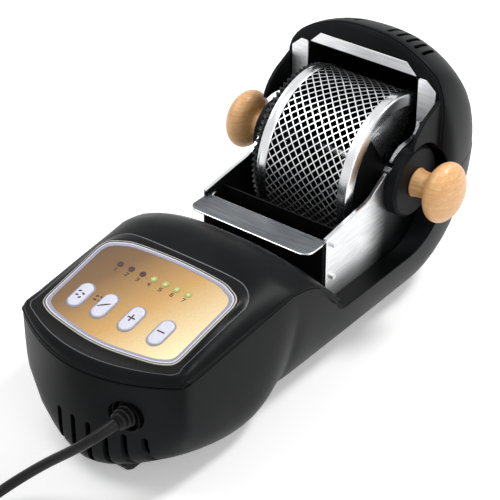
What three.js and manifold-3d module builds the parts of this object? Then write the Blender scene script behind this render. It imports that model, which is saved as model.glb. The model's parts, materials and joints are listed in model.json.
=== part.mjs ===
// Home coffee bean roaster: a black housing with a sloped control deck in front and a round
// roasting chamber behind it. A perforated steel drum turns over two heating rods. The hood
// over the back half of the drum swings back on a hinge pin. Millimetres, +X right, +Y back,
// +Z up. The pieces are modelled around the drum's axis, which runs along X, and the whole
// is then set with its feet on z = 0 and its origin under the middle of its box.
import * as THREE from 'three'
import Module from 'manifold-3d'
import { mergeVertices } from 'three/addons/utils/BufferGeometryUtils.js'

// Overall sizes. Places along Y and Z are measured from the drum's axis.
const frontReach = 287
const rearReach = 101
const frontHalfWidth = 69
const rearHalfWidth = 75
const floorDrop = 104
const footHeight = 6
const hoodRise = 96
const barrelCentreY = 12
const barrelDrop = 107.5
const wall = 2.5
const gap = 0.3
const cutOverrun = 5

// Deck, front face and chin.
const frontCornerReach = 266
const deckFrontZ = -19
const deckRearZ = -5
const deckRearY = -150
const deckEdge = 4
const chinDepth = 22
const chinHeight = 34
const bowlStartY = -150
const seamZ = -33

// The cut-away that leaves the drum open in front, and the hood's seam.
const scoopFrontY = -106
const scoopFloorZ = -56
const scoopRound = 34
const scoopLean = 0.6
const hoodFaceY = 22
const hoodSeamZ = -6
const hoodFaceHalfWidth = 64
const hoodFaceArcRadius = 79
const hoodFaceArcZ = 12
const hoodBlend = 20
const hoodSwell = 14

// Steel liner inside the hood.
const linerHalfWidth = 49.5
const linerShoulder = 46
const linerTopZ = 69.6
const linerShoulderZ = 62
const linerBackY = 78
const linerSlopeY = 52
const linerSlopeZ = 40
const linerFlangeX = 62.6
const linerFlangeZ = 33.5
const linerFlangeTopZ = 77.4
const linerFlangeTopX = 39

// Drum.
const drumRadius = 60
const drumLeftX = -34
const drumRightX = 44.5
const ringWidth = 9
const ringThickness = 1.2
const meshThickness = 0.8
const meshAround = 20
const meshAlong = 4
const meshBar = 0.3
const endPlateThickness = 1.2
const endPlateInset = 5
const shaftRadius = 4
const hatchRadius = 15
const hatchOffset = 36
const vaneCount = 3
const vaneHeight = 12
const vaneThickness = 1

// Gear drive.
const gearModule = 1.5
const drumTeeth = 76
const pinionTeeth = 28
const gearWidth = 5
const gearClearance = 1
const pinionAngle = THREE.MathUtils.degToRad(-60)
const motorRadius = 12.5
const motorLength = 52
const motorShaftRadius = 3
const bracketLift = 9
const bracketRear = 5

// Steel chamber.
const plateX = 53
const sheet = 1
const lipWidth = 7
const chamberFrontY = -96
const chamberTopZ = -6
const chamberFloorZ = -76
const slotHalfWidth = 4.3
const slotAngle = 141
const cradleThickness = 1.4
const shelfFrontY = -115.5
const shelfHalfWidth = 52.5
const shelfCorner = 10
const reflectorRadius = 75
const guardRadius = 65
const heaterRadius = 4
const heaterOrbit = 68
const heaterAngles = [-100, -132].map((angle) => THREE.MathUtils.degToRad(angle))
const boltRadius = 2
const boltHeadRadius = 3.5
const boltHeadHeight = 2.2

// Handles on the drum's shaft.
const discInnerX = 56
const discOuterX = 64
const discRadius = 27
const knobCentreX = 88.5
const knobRadius = 22.5
const knobHalfDepth = 12
const neckRadius = 10

// Control panel.
const panelHalfWidth = 56
const panelFrontY = -268
const panelRearY = -167
const panelBow = 9
const panelCorner = 14
const bezelWidth = 3
const panelThickness = 1.2
const buttonPlaces = [-40, -19, 3, 26]
const buttonNames = ['button_light_roast', 'button_dark_roast', 'button_plus', 'button_minus']
const buttonY = -239
const buttonLength = 27
const buttonWidth = 12.5
const buttonHeight = 1.6
const buttonTravel = 0.8
const ledCount = 7
const ledPitch = 9.7
const ledFirstX = -42
const ledY = -196
const ledRadius = 2.3

// Hinge of the hood.
const hingeOut = 3
const knuckleRadius = 5
const hingePinRadius = 1.5
const knuckleLength = 16
const knucklePitch = 16.6

// Fan, boards and feet.
const fanSize = 50
const fanDepth = 15
const fanY = -232
const fanX = 8
const fanZ = -58
const fanBladeCount = 7
const boardThickness = 1.6
const boardDepth = -14
const postRadius = 2.5
const ventCount = 8
const ventPitch = 13
const ventWidth = 3
const ventShift = 6
const ventHeight = 18
const hoodVentCount = 6
const hoodVentPitch = THREE.MathUtils.degToRad(7)
const hoodVentLength = 22
const hoodVentWidth = 3.2
const bottomHalfWidth = 22
const footLength = 20
const footWidth = 14

// Mains cord.
const cordRadius = 3.5
const glandX = 35
const glandZ = -48
const glandRadius = 11
const glandInset = 5
const cordRoute = [[35, -274.5, -48], [35, -286, -48], [31.5, -298, -51.5], [25.4, -308.5, -57.8],
  [14.5, -315, -67], [2.4, -320, -77], [-8, -326, -86.5], [-17, -334, -95], [-23.5, -345, -101.5],
  [-27.5, -358, -105.3], [-28.8, -371, -106.2]]
const coilX = -75.6
const coilY = -392
const coilTurns = 4
const coilSteps = 24
const coilInner = 31
const coilPitch = 7.8
const coilLowZ = -floorDrop - footHeight + cordRadius + 1.5
const coilStartX = coilX + coilInner + coilPitch * coilTurns / 2
const tieReach = 9.1
const tieWidth = 6
const tieThickness = 1
const plugSleeve = 18
const plugBody = 24
const plugRadius = 10.5
const plugPinRadius = 2.4
const plugPinLength = 19
const plugPinPitch = 16

const wasm = await Module()
wasm.setup()

const black = { color: 0x16171a, roughness: 0.42, metalness: 0 }
const steel = { color: 0xc9cbce, roughness: 0.28, metalness: 1 }
const darkSteel = { color: 0x6d7075, roughness: 0.4, metalness: 1 }
const wood = { color: 0xd9a066, roughness: 0.5, metalness: 0 }
const gold = { color: 0xd8b16a, roughness: 0.35, metalness: 0.6 }
const silver = { color: 0xcfd2e0, roughness: 0.3, metalness: 0.7 }
const white = { color: 0xf2f2f6, roughness: 0.45, metalness: 0 }
const rubber = { color: 0x101012, roughness: 0.8, metalness: 0 }
const brass = { color: 0xb5914e, roughness: 0.35, metalness: 1 }
const green = { color: 0x2f6b3c, roughness: 0.6, metalness: 0 }
const nylon = { color: 0x1b1b1d, roughness: 0.6, metalness: 0 }
const ceramic = { color: 0xe8e4da, roughness: 0.6, metalness: 0 }

const part = new THREE.Group()
const machine = new THREE.Group()
part.add(machine)

function solidOf(geometry) {
  const bare = geometry.index ? geometry.toNonIndexed() : geometry.clone()
  for (const name of Object.keys(bare.attributes)) {
    if (name !== 'position') bare.deleteAttribute(name)
  }
  const merged = mergeVertices(bare, 1e-4)
  return new wasm.Manifold(new wasm.Mesh({
    numProp: 3,
    vertProperties: merged.attributes.position.array,
    triVerts: new Uint32Array(merged.index.array),
  }))
}

function geometryOf(solid) {
  const mesh = solid.getMesh()
  const geometry = new THREE.BufferGeometry()
  geometry.setAttribute('position', new THREE.BufferAttribute(mesh.vertProperties, 3))
  geometry.setIndex(new THREE.BufferAttribute(mesh.triVerts, 1))
  const flat = geometry.toNonIndexed()
  flat.computeVertexNormals()
  return flat
}

function addPiece(name, solid, look, parent = machine) {
  const mesh = new THREE.Mesh(geometryOf(solid), new THREE.MeshStandardMaterial(look))
  mesh.name = name
  parent.add(mesh)
  return mesh
}

// A shape drawn in (Y, Z) and run along X, in (X, Z) along Y, or in (X, Y) along Z.
const axes = {
  x: [[0, 1, 0], [0, 0, 1], [1, 0, 0]],
  y: [[1, 0, 0], [0, 0, 1], [0, -1, 0]],
  z: [[1, 0, 0], [0, 1, 0], [0, 0, 1]],
}

function prism(axis, shape, from, to, curveSegments = 8) {
  const options = { depth: to - from, bevelEnabled: false, curveSegments }
  const geometry = new THREE.ExtrudeGeometry(shape, options)
  geometry.translate(0, 0, axis === 'y' ? -to : from)
  const [u, v, w] = axes[axis].map((direction) => new THREE.Vector3(...direction))
  geometry.applyMatrix4(new THREE.Matrix4().makeBasis(u, v, w))
  return solidOf(geometry)
}

function outline(points) {
  return new THREE.Shape(points.map(([u, v]) => new THREE.Vector2(u, v)))
}

function box(x0, x1, y0, y1, z0, z1) {
  const geometry = new THREE.BoxGeometry(x1 - x0, y1 - y0, z1 - z0)
  geometry.translate((x0 + x1) / 2, (y0 + y1) / 2, (z0 + z1) / 2)
  return solidOf(geometry)
}

// A round bar along X, or along Y or Z, centred on the two other coordinates.
function rod(axis, radius, from, to, u = 0, v = 0, sides = 24) {
  const shape = new THREE.Shape().absarc(u, v, radius, 0, 2 * Math.PI)
  return prism(axis, shape, from, to, sides / 2)
}

// A profile of [distance along X, radius] pairs, from end to end, spun about the X axis.
function spin(profile, sides) {
  const points = profile.map(([along, radius]) => new THREE.Vector2(radius, along))
  points.unshift(new THREE.Vector2(0, profile[0][0]))
  points.push(new THREE.Vector2(0, profile[profile.length - 1][0]))
  const geometry = new THREE.LatheGeometry(points, sides)
  geometry.rotateZ(-Math.PI / 2)
  return solidOf(geometry)
}

// A skin over closed rings of points, with a flat cap at each end.
function loft(rings) {
  const count = rings[0].length
  const vertices = rings.flat()
  const faces = []
  for (let ring = 0; ring + 1 < rings.length; ring += 1) {
    for (let i = 0; i < count; i += 1) {
      const a = ring * count + i
      const b = ring * count + (i + 1) % count
      faces.push(a, b, b + count, a, b + count, a + count)
    }
  }
  const last = (rings.length - 1) * count
  for (let i = 1; i + 1 < count; i += 1) {
    faces.push(0, i + 1, i, last, last + i, last + i + 1)
  }
  const geometry = new THREE.BufferGeometry().setFromPoints(vertices)
  geometry.setIndex(faces)
  const solid = solidOf(geometry)
  if (solid.volume() > 0) return solid
  const turned = faces.map((_, i) => faces[i - (i % 3) + 2 - (i % 3)])
  geometry.setIndex(turned)
  return solidOf(geometry)
}

function polar(radius, angle) {
  return [radius * Math.cos(angle), radius * Math.sin(angle)]
}

function roundedRectangle(u0, u1, v0, v1, radius) {
  const shape = new THREE.Shape()
  shape.moveTo(u0 + radius, v0)
  shape.lineTo(u1 - radius, v0)
  shape.absarc(u1 - radius, v0 + radius, radius, -Math.PI / 2, 0)
  shape.absarc(u1 - radius, v1 - radius, radius, 0, Math.PI / 2)
  shape.absarc(u0 + radius, v1 - radius, radius, Math.PI / 2, Math.PI)
  shape.absarc(u0 + radius, v0 + radius, radius, Math.PI, 1.5 * Math.PI)
  return shape
}

// The round rear of the housing: an ellipse in side view that draws in towards both sides.
const crownExponent = 5
const crownRoundness = 1.825
const crownSteps = 7

function crown(x, halfWidth) {
  return (1 - Math.abs(x / halfWidth) ** crownExponent) ** (1 / crownRoundness)
}

// Towards the front the section below the deck narrows from a barrel's to a bowl's.
const bowlExponent = 2.3
const bowlRoundness = 2

function halfWidthAt(height, halfWidth, reach, bowlShare) {
  const exponent = THREE.MathUtils.lerp(crownExponent, bowlExponent, bowlShare)
  const roundness = THREE.MathUtils.lerp(crownRoundness, bowlRoundness, bowlShare)
  return halfWidth * (1 - (Math.abs(height) / reach) ** roundness) ** (1 / exponent)
}

function barrel(inset, rise) {
  const halfWidth = rearHalfWidth - inset
  const profile = []
  for (let i = -crownSteps; i <= crownSteps; i += 1) {
    const x = halfWidth * Math.sin((i / crownSteps) * Math.PI / 2)
    profile.push([x, crown(x, halfWidth)])
  }
  const inner = profile.slice(1, -1)
  const scaled = spin(inner, 44).scale([1, rearReach - barrelCentreY - inset, rise - inset])
  return scaled.translate([0, barrelCentreY, 0])
}

// The front of the housing: sections from the front face back to the middle of the barrel.
const lowerSteps = 7
const deckArcSteps = 2
const bowlSteps = 4

function deckZ(y) {
  const slope = (deckRearZ - deckFrontZ) / (deckRearY + frontCornerReach)
  return Math.min(deckRearZ, deckFrontZ + slope * (y + frontCornerReach))
}

function section(y, inset) {
  const share = (barrelCentreY - y) / (barrelCentreY + frontReach)
  const halfWidth = rearHalfWidth + (frontHalfWidth - rearHalfWidth) * share - inset
  const top = deckZ(y) - inset
  const bottom = -floorDrop + inset
  const side = []
  for (let i = 0; i <= deckArcSteps; i += 1) {
    const [across, up] = polar(deckEdge, Math.PI / 2 * (1 - i / deckArcSteps))
    side.push([halfWidth - deckEdge + across, top - deckEdge + up])
  }
  const start = top - deckEdge
  const bowlShare = THREE.MathUtils.smoothstep(-y, -bowlStartY, frontReach)
  const straight = halfWidthAt(start, 1, barrelDrop - inset, bowlShare)
  for (let i = 1; i <= lowerSteps; i += 1) {
    const z = start + (bottom - start) * Math.sin((i / lowerSteps) * Math.PI / 2)
    side.push([halfWidthAt(z, halfWidth / straight, barrelDrop - inset, bowlShare), z])
  }
  const mirrored = side.map(([x, z]) => [-x, z]).reverse()
  return side.concat(mirrored).map(([x, z]) => new THREE.Vector3(x, y, z))
}

function frontBody(inset) {
  const stations = [-frontReach - cutOverrun]
  for (let i = 0; i <= bowlSteps; i += 1) {
    stations.push(THREE.MathUtils.lerp(-frontCornerReach, bowlStartY, i / bowlSteps))
  }
  stations.push(deckRearY + deckEdge, barrelCentreY + wall)
  const body = loft(stations.map((y) => section(y, inset)))
  return body.intersect(frontPlan(inset)).intersect(chin(inset))
}

// Seen from above, the front face is a shallow arc between two crisp corners.
function frontPlan(inset) {
  const half = frontHalfWidth + 1
  const rise = frontReach - frontCornerReach
  const radius = (half ** 2 + rise ** 2) / (2 * rise)
  const centreY = -frontReach + radius
  const spread = Math.asin(half / radius)
  const shape = new THREE.Shape()
  shape.moveTo(half + cutOverrun, barrelCentreY + cutOverrun)
  shape.lineTo(-half - cutOverrun, barrelCentreY + cutOverrun)
  shape.lineTo(-half - cutOverrun, -frontCornerReach + inset)
  const from = -Math.PI / 2 - spread
  shape.absarc(0, centreY, radius - inset, from, from + 2 * spread)
  shape.lineTo(half + cutOverrun, -frontCornerReach + inset)
  return prism('z', shape, -floorDrop - cutOverrun, hoodRise, 8)
}

// Seen from the side, the front face stands upright and turns under in a quarter ellipse.
function chin(inset) {
  const shape = new THREE.Shape()
  const front = -frontReach + inset
  const bottom = -floorDrop + inset
  shape.moveTo(front, hoodRise)
  shape.lineTo(front, bottom + chinHeight)
  shape.absellipse(front + chinDepth, bottom + chinHeight, chinDepth, chinHeight,
    Math.PI, 1.5 * Math.PI)
  shape.lineTo(barrelCentreY + cutOverrun, bottom)
  shape.lineTo(barrelCentreY + cutOverrun, hoodRise)
  return prism('x', shape, -rearHalfWidth - cutOverrun, rearHalfWidth + cutOverrun, 4)
}

function lowerBarrel(inset, top) {
  const far = rearHalfWidth + cutOverrun
  const back = rearReach + cutOverrun
  const slice = box(-far, far, barrelCentreY, back, -floorDrop + inset, top)
  return barrel(inset, barrelDrop).intersect(slice)
}

// Everything above this line is cut away over the drum. The inset lowers it for the wall.
function scoop(inset) {
  const front = scoopFrontY - inset
  const floor = scoopFloorZ - inset
  const back = hoodFaceY + inset
  const shape = new THREE.Shape()
  shape.moveTo(front - scoopRound * scoopLean, deckRearZ + cutOverrun)
  shape.lineTo(front, floor + scoopRound / 2)
  shape.absarc(front + scoopRound / 2, floor + scoopRound / 2, scoopRound / 2,
    Math.PI, 1.5 * Math.PI)
  shape.absarc(back - scoopRound, floor + scoopRound, scoopRound, -Math.PI / 2, 0)
  shape.lineTo(back, hoodRise)
  shape.lineTo(front - scoopRound * scoopLean, hoodRise)
  const far = rearHalfWidth + cutOverrun
  return prism('x', shape, -far, far, 3)
}

// Base housing: an open-bottomed tub with the chamber well, the seat of the deck cover, the
// chin's air slots and two hinge knuckles at the back.
const hingeY = rearReach + hingeOut
const hingeZ = hoodSeamZ + knuckleRadius / 2

function knuckle(x, armZ) {
  const bored = rod('x', knuckleRadius, x - knuckleLength / 2, x + knuckleLength / 2,
    hingeY, hingeZ, 16)
  const root = rearReach - wall * 2
  const [low, high] = armZ > hingeZ ? [hingeZ, armZ] : [armZ, hoodSeamZ]
  return bored.add(box(x - knuckleLength / 2, x + knuckleLength / 2, root, hingeY, low, high))
}

function knuckleRelief(x) {
  const half = knuckleLength / 2 + gap
  return rod('x', knuckleRadius + gap, x - half, x + half, hingeY, hingeZ, 16)
}

function hingeBore(radius) {
  const reach = knucklePitch * 2
  return rod('x', radius, -reach, reach, hingeY, hingeZ, 16)
}

function chinVents() {
  const cuts = []
  for (let i = 0; i < ventCount; i += 1) {
    const x = (i - (ventCount - 1) / 2) * ventPitch + ventShift
    const low = -floorDrop + wall * 3
    cuts.push(box(x - ventWidth / 2, x + ventWidth / 2, -frontReach - cutOverrun,
      -frontReach + chinDepth + wall, low, low + ventHeight))
  }
  return wasm.Manifold.union(cuts)
}

const far = rearHalfWidth + cutOverrun
const outer = frontBody(0).add(lowerBarrel(0, hoodSeamZ)).subtract(scoop(0))
const hollow = frontBody(wall).add(lowerBarrel(wall, hoodSeamZ + cutOverrun))
const inner = hollow.subtract(scoop(wall))
const wellHalfWidth = plateX + sheet + gap
const wellBack = reflectorRadius + gap
const well = box(-wellHalfWidth, wellHalfWidth, chamberFrontY - sheet - gap, hoodFaceY,
  -floorDrop + wall * 2, hoodRise)
const wellRear = box(-wellHalfWidth, wellHalfWidth, hoodFaceY - gap, wellBack,
  -floorDrop + wall * 2, hoodRise)
const bottomInset = wall * 2
const bracketZ = -floorDrop + bracketLift
const gearX = drumLeftX - gap - gearWidth
const [pinionY, pinionZ] = polar(gearModule * (drumTeeth + pinionTeeth) / 2, pinionAngle)
const hatchFrontY = fanY - bottomInset
const hatchRearY = barrelCentreY + motorRadius
const bottomOpening = box(-bottomHalfWidth, bottomHalfWidth, hatchFrontY, hatchRearY,
  -floorDrop - cutOverrun, -floorDrop + wall + gap)

const coverSplit = box(-far, far, -frontReach - cutOverrun, scoopFrontY - coverRear(),
  seamZ, hoodRise)
function coverRear() {
  return scoopRound * scoopLean + wall
}

let baseShell = outer.subtract(inner).subtract(coverSplit)
baseShell = baseShell.subtract(well.add(wellRear).intersect(hollow))
baseShell = baseShell.subtract(bottomOpening).subtract(chinVents())
baseShell = baseShell.add(knuckle(-knucklePitch, hingeZ - knuckleRadius * 2))
baseShell = baseShell.add(knuckle(knucklePitch, hingeZ - knuckleRadius * 2))
baseShell = baseShell.subtract(hingeBore(hingePinRadius + gap))
baseShell = baseShell.subtract(knuckleRelief(0))
const discRelief = rod('x', discRadius + wall, -far, far)
baseShell = baseShell.subtract(discRelief)
const railHeight = chamberFloorZ - gap
for (const side of [-1, 1]) {
  const inside = side * (plateX - sheet - wall)
  const outside = side * (plateX + sheet + wall)
  const rail = box(Math.min(inside, outside), Math.max(inside, outside), chamberFrontY,
    reflectorRadius - wall, -floorDrop, railHeight)
  baseShell = baseShell.add(rail.intersect(outer))
}
const bracketSeat = box(gearX, -bottomHalfWidth + wall, pinionY - motorRadius,
  pinionY + motorRadius, -floorDrop, bracketZ - gap)
baseShell = baseShell.add(bracketSeat.intersect(outer))
const glandBore = rod('y', glandRadius - wall + gap, -frontReach - cutOverrun,
  -frontReach + chinDepth, glandX, glandZ)
baseShell = baseShell.subtract(glandBore)
addPiece('base_housing', baseShell, black)

// Deck cover with the recess for the control panel.
function panelOutline(grow) {
  const shape = new THREE.Shape()
  const half = panelHalfWidth + grow
  const front = panelFrontY - grow
  const rear = panelRearY + grow
  const corner = panelCorner + grow
  const small = panelCorner / 3
  shape.moveTo(-half + small, front + panelBow)
  shape.quadraticCurveTo(0, front - panelBow, half - small, front + panelBow)
  shape.quadraticCurveTo(half, front + panelBow + small / 2, half, front + panelBow + small * 2)
  shape.lineTo(half, rear - corner)
  shape.absarc(half - corner, rear - corner, corner, 0, Math.PI / 2)
  shape.lineTo(-half + corner, rear)
  shape.absarc(-half + corner, rear - corner, corner, Math.PI / 2, Math.PI)
  shape.lineTo(-half, front + panelBow + small * 2)
  shape.quadraticCurveTo(-half, front + panelBow + small / 2, -half + small, front + panelBow)
  return shape
}

// A plate parallel to the sloped deck, between two depths measured down from it.
const deckSlope = Math.atan2(deckRearZ - deckFrontZ, deckRearY + frontCornerReach)
function onDeck(shape, from, to, curveSegments = 2) {
  const plate = prism('z', shape, from, to, curveSegments)
  return plate.translate([0, frontCornerReach, 0])
    .rotate([THREE.MathUtils.radToDeg(deckSlope), 0, 0])
    .translate([0, -frontCornerReach, deckFrontZ])
}

const coverOuter = outer.intersect(coverSplit.translate([0, -gap, gap]))
let deckCover = coverOuter.subtract(inner)
const panelRecess = onDeck(panelOutline(bezelWidth + gap), -panelThickness, cutOverrun, 5)
deckCover = deckCover.subtract(panelRecess)
for (const x of buttonPlaces) {
  deckCover = deckCover.subtract(onDeck(buttonOutline(x, gap * 2), -wall * 2, cutOverrun))
}
const ledWindow = roundedRectangle(ledFirstX - ledPitch / 2,
  ledFirstX + ledPitch * (ledCount - 0.5), ledY - ledRadius * 2, ledY + ledRadius * 2, ledRadius)
deckCover = deckCover.subtract(onDeck(ledWindow, -wall * 2, cutOverrun))
const boardReach = panelHalfWidth - cutOverrun
const boardFrontY = buttonY - buttonLength / 2 - boardThickness
const boardRearY = ledY + buttonWidth
for (const x of [-boardReach + cutOverrun, boardReach - cutOverrun]) {
  for (const y of [buttonY + buttonLength / 2 + cutOverrun, boardRearY - cutOverrun]) {
    const post = new THREE.Shape().absarc(x, y, postRadius, 0, 2 * Math.PI)
    deckCover = deckCover.add(onDeck(post, boardDepth + gap, -wall + gap, 4))
  }
}
addPiece('deck_cover', deckCover, black)

function buttonOutline(x, grow) {
  const halfWidth = buttonWidth / 2 + grow
  const halfLength = buttonLength / 2 + grow
  return roundedRectangle(x - halfWidth, x + halfWidth, buttonY - halfLength,
    buttonY + halfLength, halfWidth - gap / 3)
}

let overlay = onDeck(panelOutline(0), -panelThickness + gap, 0, 5)
let bezel = onDeck(panelOutline(bezelWidth), -panelThickness + gap, gap * 2, 5)
bezel = bezel.subtract(onDeck(panelOutline(gap), -cutOverrun, cutOverrun, 5))
for (const x of buttonPlaces) {
  overlay = overlay.subtract(onDeck(buttonOutline(x, gap), -cutOverrun, cutOverrun))
}
for (let i = 0; i < ledCount; i += 1) {
  const hole = new THREE.Shape().absarc(ledFirstX + i * ledPitch, ledY, ledRadius + gap, 0,
    2 * Math.PI)
  overlay = overlay.subtract(onDeck(hole, -cutOverrun, cutOverrun, 4))
}
addPiece('panel_overlay', overlay, gold)
addPiece('panel_bezel', bezel, silver)

buttonPlaces.forEach((x, i) => {
  const key = onDeck(buttonOutline(x, 0), -wall - sheet * 1.5, buttonHeight - gap)
  const flange = onDeck(buttonOutline(x, gap * 2 + sheet), -wall - gap - sheet, -wall - gap)
  addPiece(buttonNames[i], key.add(flange), white)
})

let ledStrip = onDeck(ledWindowInner(), -wall, -panelThickness)
function ledWindowInner() {
  return roundedRectangle(ledFirstX - ledPitch / 2 + gap,
    ledFirstX + ledPitch * (ledCount - 0.5) - gap, ledY - ledRadius * 2 + gap,
    ledY + ledRadius * 2 - gap, ledRadius)
}
for (let i = 0; i < ledCount; i += 1) {
  const lens = new THREE.Shape().absarc(ledFirstX + i * ledPitch, ledY, ledRadius, 0, 2 * Math.PI)
  ledStrip = ledStrip.add(onDeck(lens, -wall + gap, gap, 4))
}
addPiece('led_strip', ledStrip, white)

// Hood: the barrel above the seam, with a flat face in front around the chamber's mouth.
function hoodFaceOutline(grow, sideGrow) {
  const half = hoodFaceHalfWidth + sideGrow
  const radius = hoodFaceArcRadius + grow
  const reach = Math.acos(half / radius)
  const shape = new THREE.Shape()
  shape.moveTo(-half, hoodSeamZ - cutOverrun)
  shape.lineTo(half, hoodSeamZ - cutOverrun)
  shape.absarc(0, hoodFaceArcZ, radius, reach, Math.PI - reach)
  return shape
}

function hoodForm(inset) {
  const steps = 4
  const rings = []
  for (let i = 0; i <= steps; i += 1) {
    const angle = (i / steps) * Math.PI / 2
    const grow = hoodSwell * Math.sin(angle) - inset
    const y = hoodFaceY + inset + hoodBlend * (1 - Math.cos(angle))
    rings.push(hoodFaceOutline(grow, grow).getPoints(10)
      .map((point) => new THREE.Vector3(point.x, y, point.y)))
  }
  rings.push(rings[steps].map((point) => point.clone().setY(rearReach + cutOverrun)))
  return loft(rings).intersect(barrel(inset, hoodRise))
}

const hoodBottom = hoodSeamZ + gap
const aboveSeam = box(-far, far, 0, rearReach + cutOverrun, hoodBottom, hoodRise + cutOverrun)

function mouthOutline(grow, bottom) {
  return outline([
    [-linerHalfWidth - grow, bottom],
    [linerHalfWidth + grow, bottom],
    [linerHalfWidth + grow, linerShoulderZ],
    [linerShoulder + grow, linerTopZ + grow],
    [-linerShoulder - grow, linerTopZ + grow],
    [-linerHalfWidth - grow, linerShoulderZ],
  ])
}

function hoodVents() {
  const cuts = []
  for (const side of [-1, 1]) {
    for (let i = 0; i < hoodVentCount; i += 1) {
      const angle = (i + 1.5) * hoodVentPitch
      const slot = box(-hoodVentWidth / 2, hoodVentWidth / 2, hoodFaceY + hoodBlend,
        hoodFaceY + hoodBlend + hoodVentLength, hoodRise / 2, hoodRise + cutOverrun)
      cuts.push(slot.rotate([0, side * THREE.MathUtils.radToDeg(angle), 0]))
    }
  }
  return wasm.Manifold.union(cuts)
}

let hood = hoodForm(0).subtract(hoodForm(wall)).intersect(aboveSeam)
hood = hood.subtract(prism('y', mouthOutline(gap, hoodSeamZ - cutOverrun), 0,
  hoodFaceY + wall + gap))
hood = hood.subtract(discRelief).subtract(hoodVents())
hood = hood.subtract(knuckleRelief(-knucklePitch)).subtract(knuckleRelief(knucklePitch))
hood = hood.add(knuckle(0, hingeZ + knuckleRadius * 2)).subtract(hingeBore(hingePinRadius + gap))
addPiece('hood', hood, black)

// Steel liner of the hood: a box open in front and below, with a flange against the face.
function linerSide(inset) {
  const bottom = hoodBottom - cutOverrun
  return outline([[0, bottom], [linerBackY - inset, bottom], [linerBackY - inset, linerSlopeZ],
    [linerSlopeY, linerTopZ - inset], [0, linerTopZ - inset]])
}

const linerFront = hoodFaceY - gap - sheet
const linerOuter = prism('y', mouthOutline(0, hoodBottom + gap), linerFront, linerBackY)
  .intersect(prism('x', linerSide(0), -linerHalfWidth, linerHalfWidth))
const linerInner = prism('y', mouthOutline(-sheet, hoodBottom - cutOverrun),
  linerFront - cutOverrun, linerBackY - sheet)
  .intersect(prism('x', linerSide(sheet), -linerHalfWidth, linerHalfWidth))
const flangeFace = outline([[-linerFlangeX, linerFlangeZ], [linerFlangeX, linerFlangeZ],
  [linerFlangeX, linerShoulderZ], [linerHalfWidth, linerTopZ - sheet],
  [linerShoulder, linerTopZ], [linerFlangeTopX, linerFlangeTopZ],
  [-linerFlangeTopX, linerFlangeTopZ], [-linerShoulder, linerTopZ],
  [-linerHalfWidth, linerTopZ - sheet], [-linerFlangeX, linerShoulderZ]])
const flange = prism('y', flangeFace, linerFront, linerFront + sheet)
addPiece('hood_liner', linerOuter.add(flange).subtract(linerInner), steel)

// Hinge pin with a head at one end.
const pinEnd = knucklePitch + knuckleLength / 2 + gap
const pin = spin([[-pinEnd, hingePinRadius], [pinEnd, hingePinRadius],
  [pinEnd, knuckleRadius / 2], [pinEnd + sheet * 2, knuckleRadius / 2]], 16)
addPiece('hinge_pin', pin.translate([0, hingeY, hingeZ]), steel)

// Side plates of the chamber. Their top edges are given as shares of the drum's radius.
const contourShares = [[-1.583, -0.083], [-1.3, -0.043], [-1, -0.002], [-0.8, 0.022],
  [-0.7, 0.05], [-0.6, 0.117], [-0.483, 0.183], [-0.4, 0.217]]
const rearLipShares = [[-0.283, 0.333], [-0.1, 0.457], [0.117, 0.467], [0.242, 0.517],
  [0.267, 0.633]]
const frontLip = contourShares.map(([u, v]) => [u * drumRadius, v * drumRadius])
const rearLip = rearLipShares.map(([u, v]) => [u * drumRadius, v * drumRadius])
const plateRearY = reflectorRadius - cutOverrun
const plateTopZ = hoodSeamZ - gap * 2
const plateRearShare = 0.5
const plateFloorShare = 0.45
const hornY = hoodFaceY - sheet * 3

function ribbon(points, thickness) {
  const offset = points.map(([u, v], i) => {
    const [u0, v0] = points[Math.max(i - 1, 0)]
    const [u1, v1] = points[Math.min(i + 1, points.length - 1)]
    const length = Math.hypot(u1 - u0, v1 - v0)
    return [u + (v1 - v0) / length * thickness, v - (u1 - u0) / length * thickness]
  })
  return outline(points.concat(offset.reverse()))
}

const plateOutline = outline([...frontLip, ...rearLip, [hornY, rearLip[rearLip.length - 1][1]],
  [hornY, plateTopZ], [plateRearY, plateTopZ], [plateRearY, chamberFloorZ * plateRearShare],
  [plateRearY * plateFloorShare, chamberFloorZ], [frontLip[0][0], chamberFloorZ]])
const slotReach = drumRadius
const slotCut = rod('x', slotHalfWidth, -far, far, 0, 0, 12)
  .add(box(-far, far, 0, slotReach, -slotHalfWidth, slotHalfWidth).rotate([slotAngle, 0, 0]))
const boltPlaces = [[-88, -12], [-88, -38]]

for (const [side, name] of [[-1, 'left'], [1, 'right']]) {
  const mirror = [side, 1, 1]
  let plate = prism('x', plateOutline, plateX, plateX + sheet)
  plate = plate.add(prism('x', ribbon(frontLip, sheet), plateX - lipWidth, plateX + sheet))
  plate = plate.add(prism('x', ribbon(rearLip, sheet), plateX - lipWidth, plateX + sheet))
  plate = plate.subtract(slotCut)
  for (const [y, z] of boltPlaces) {
    plate = plate.subtract(rod('x', boltRadius + gap, 0, far, y, z, 12))
  }
  addPiece(`side_plate_${name}`, plate.scale(mirror), steel)
}

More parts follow.
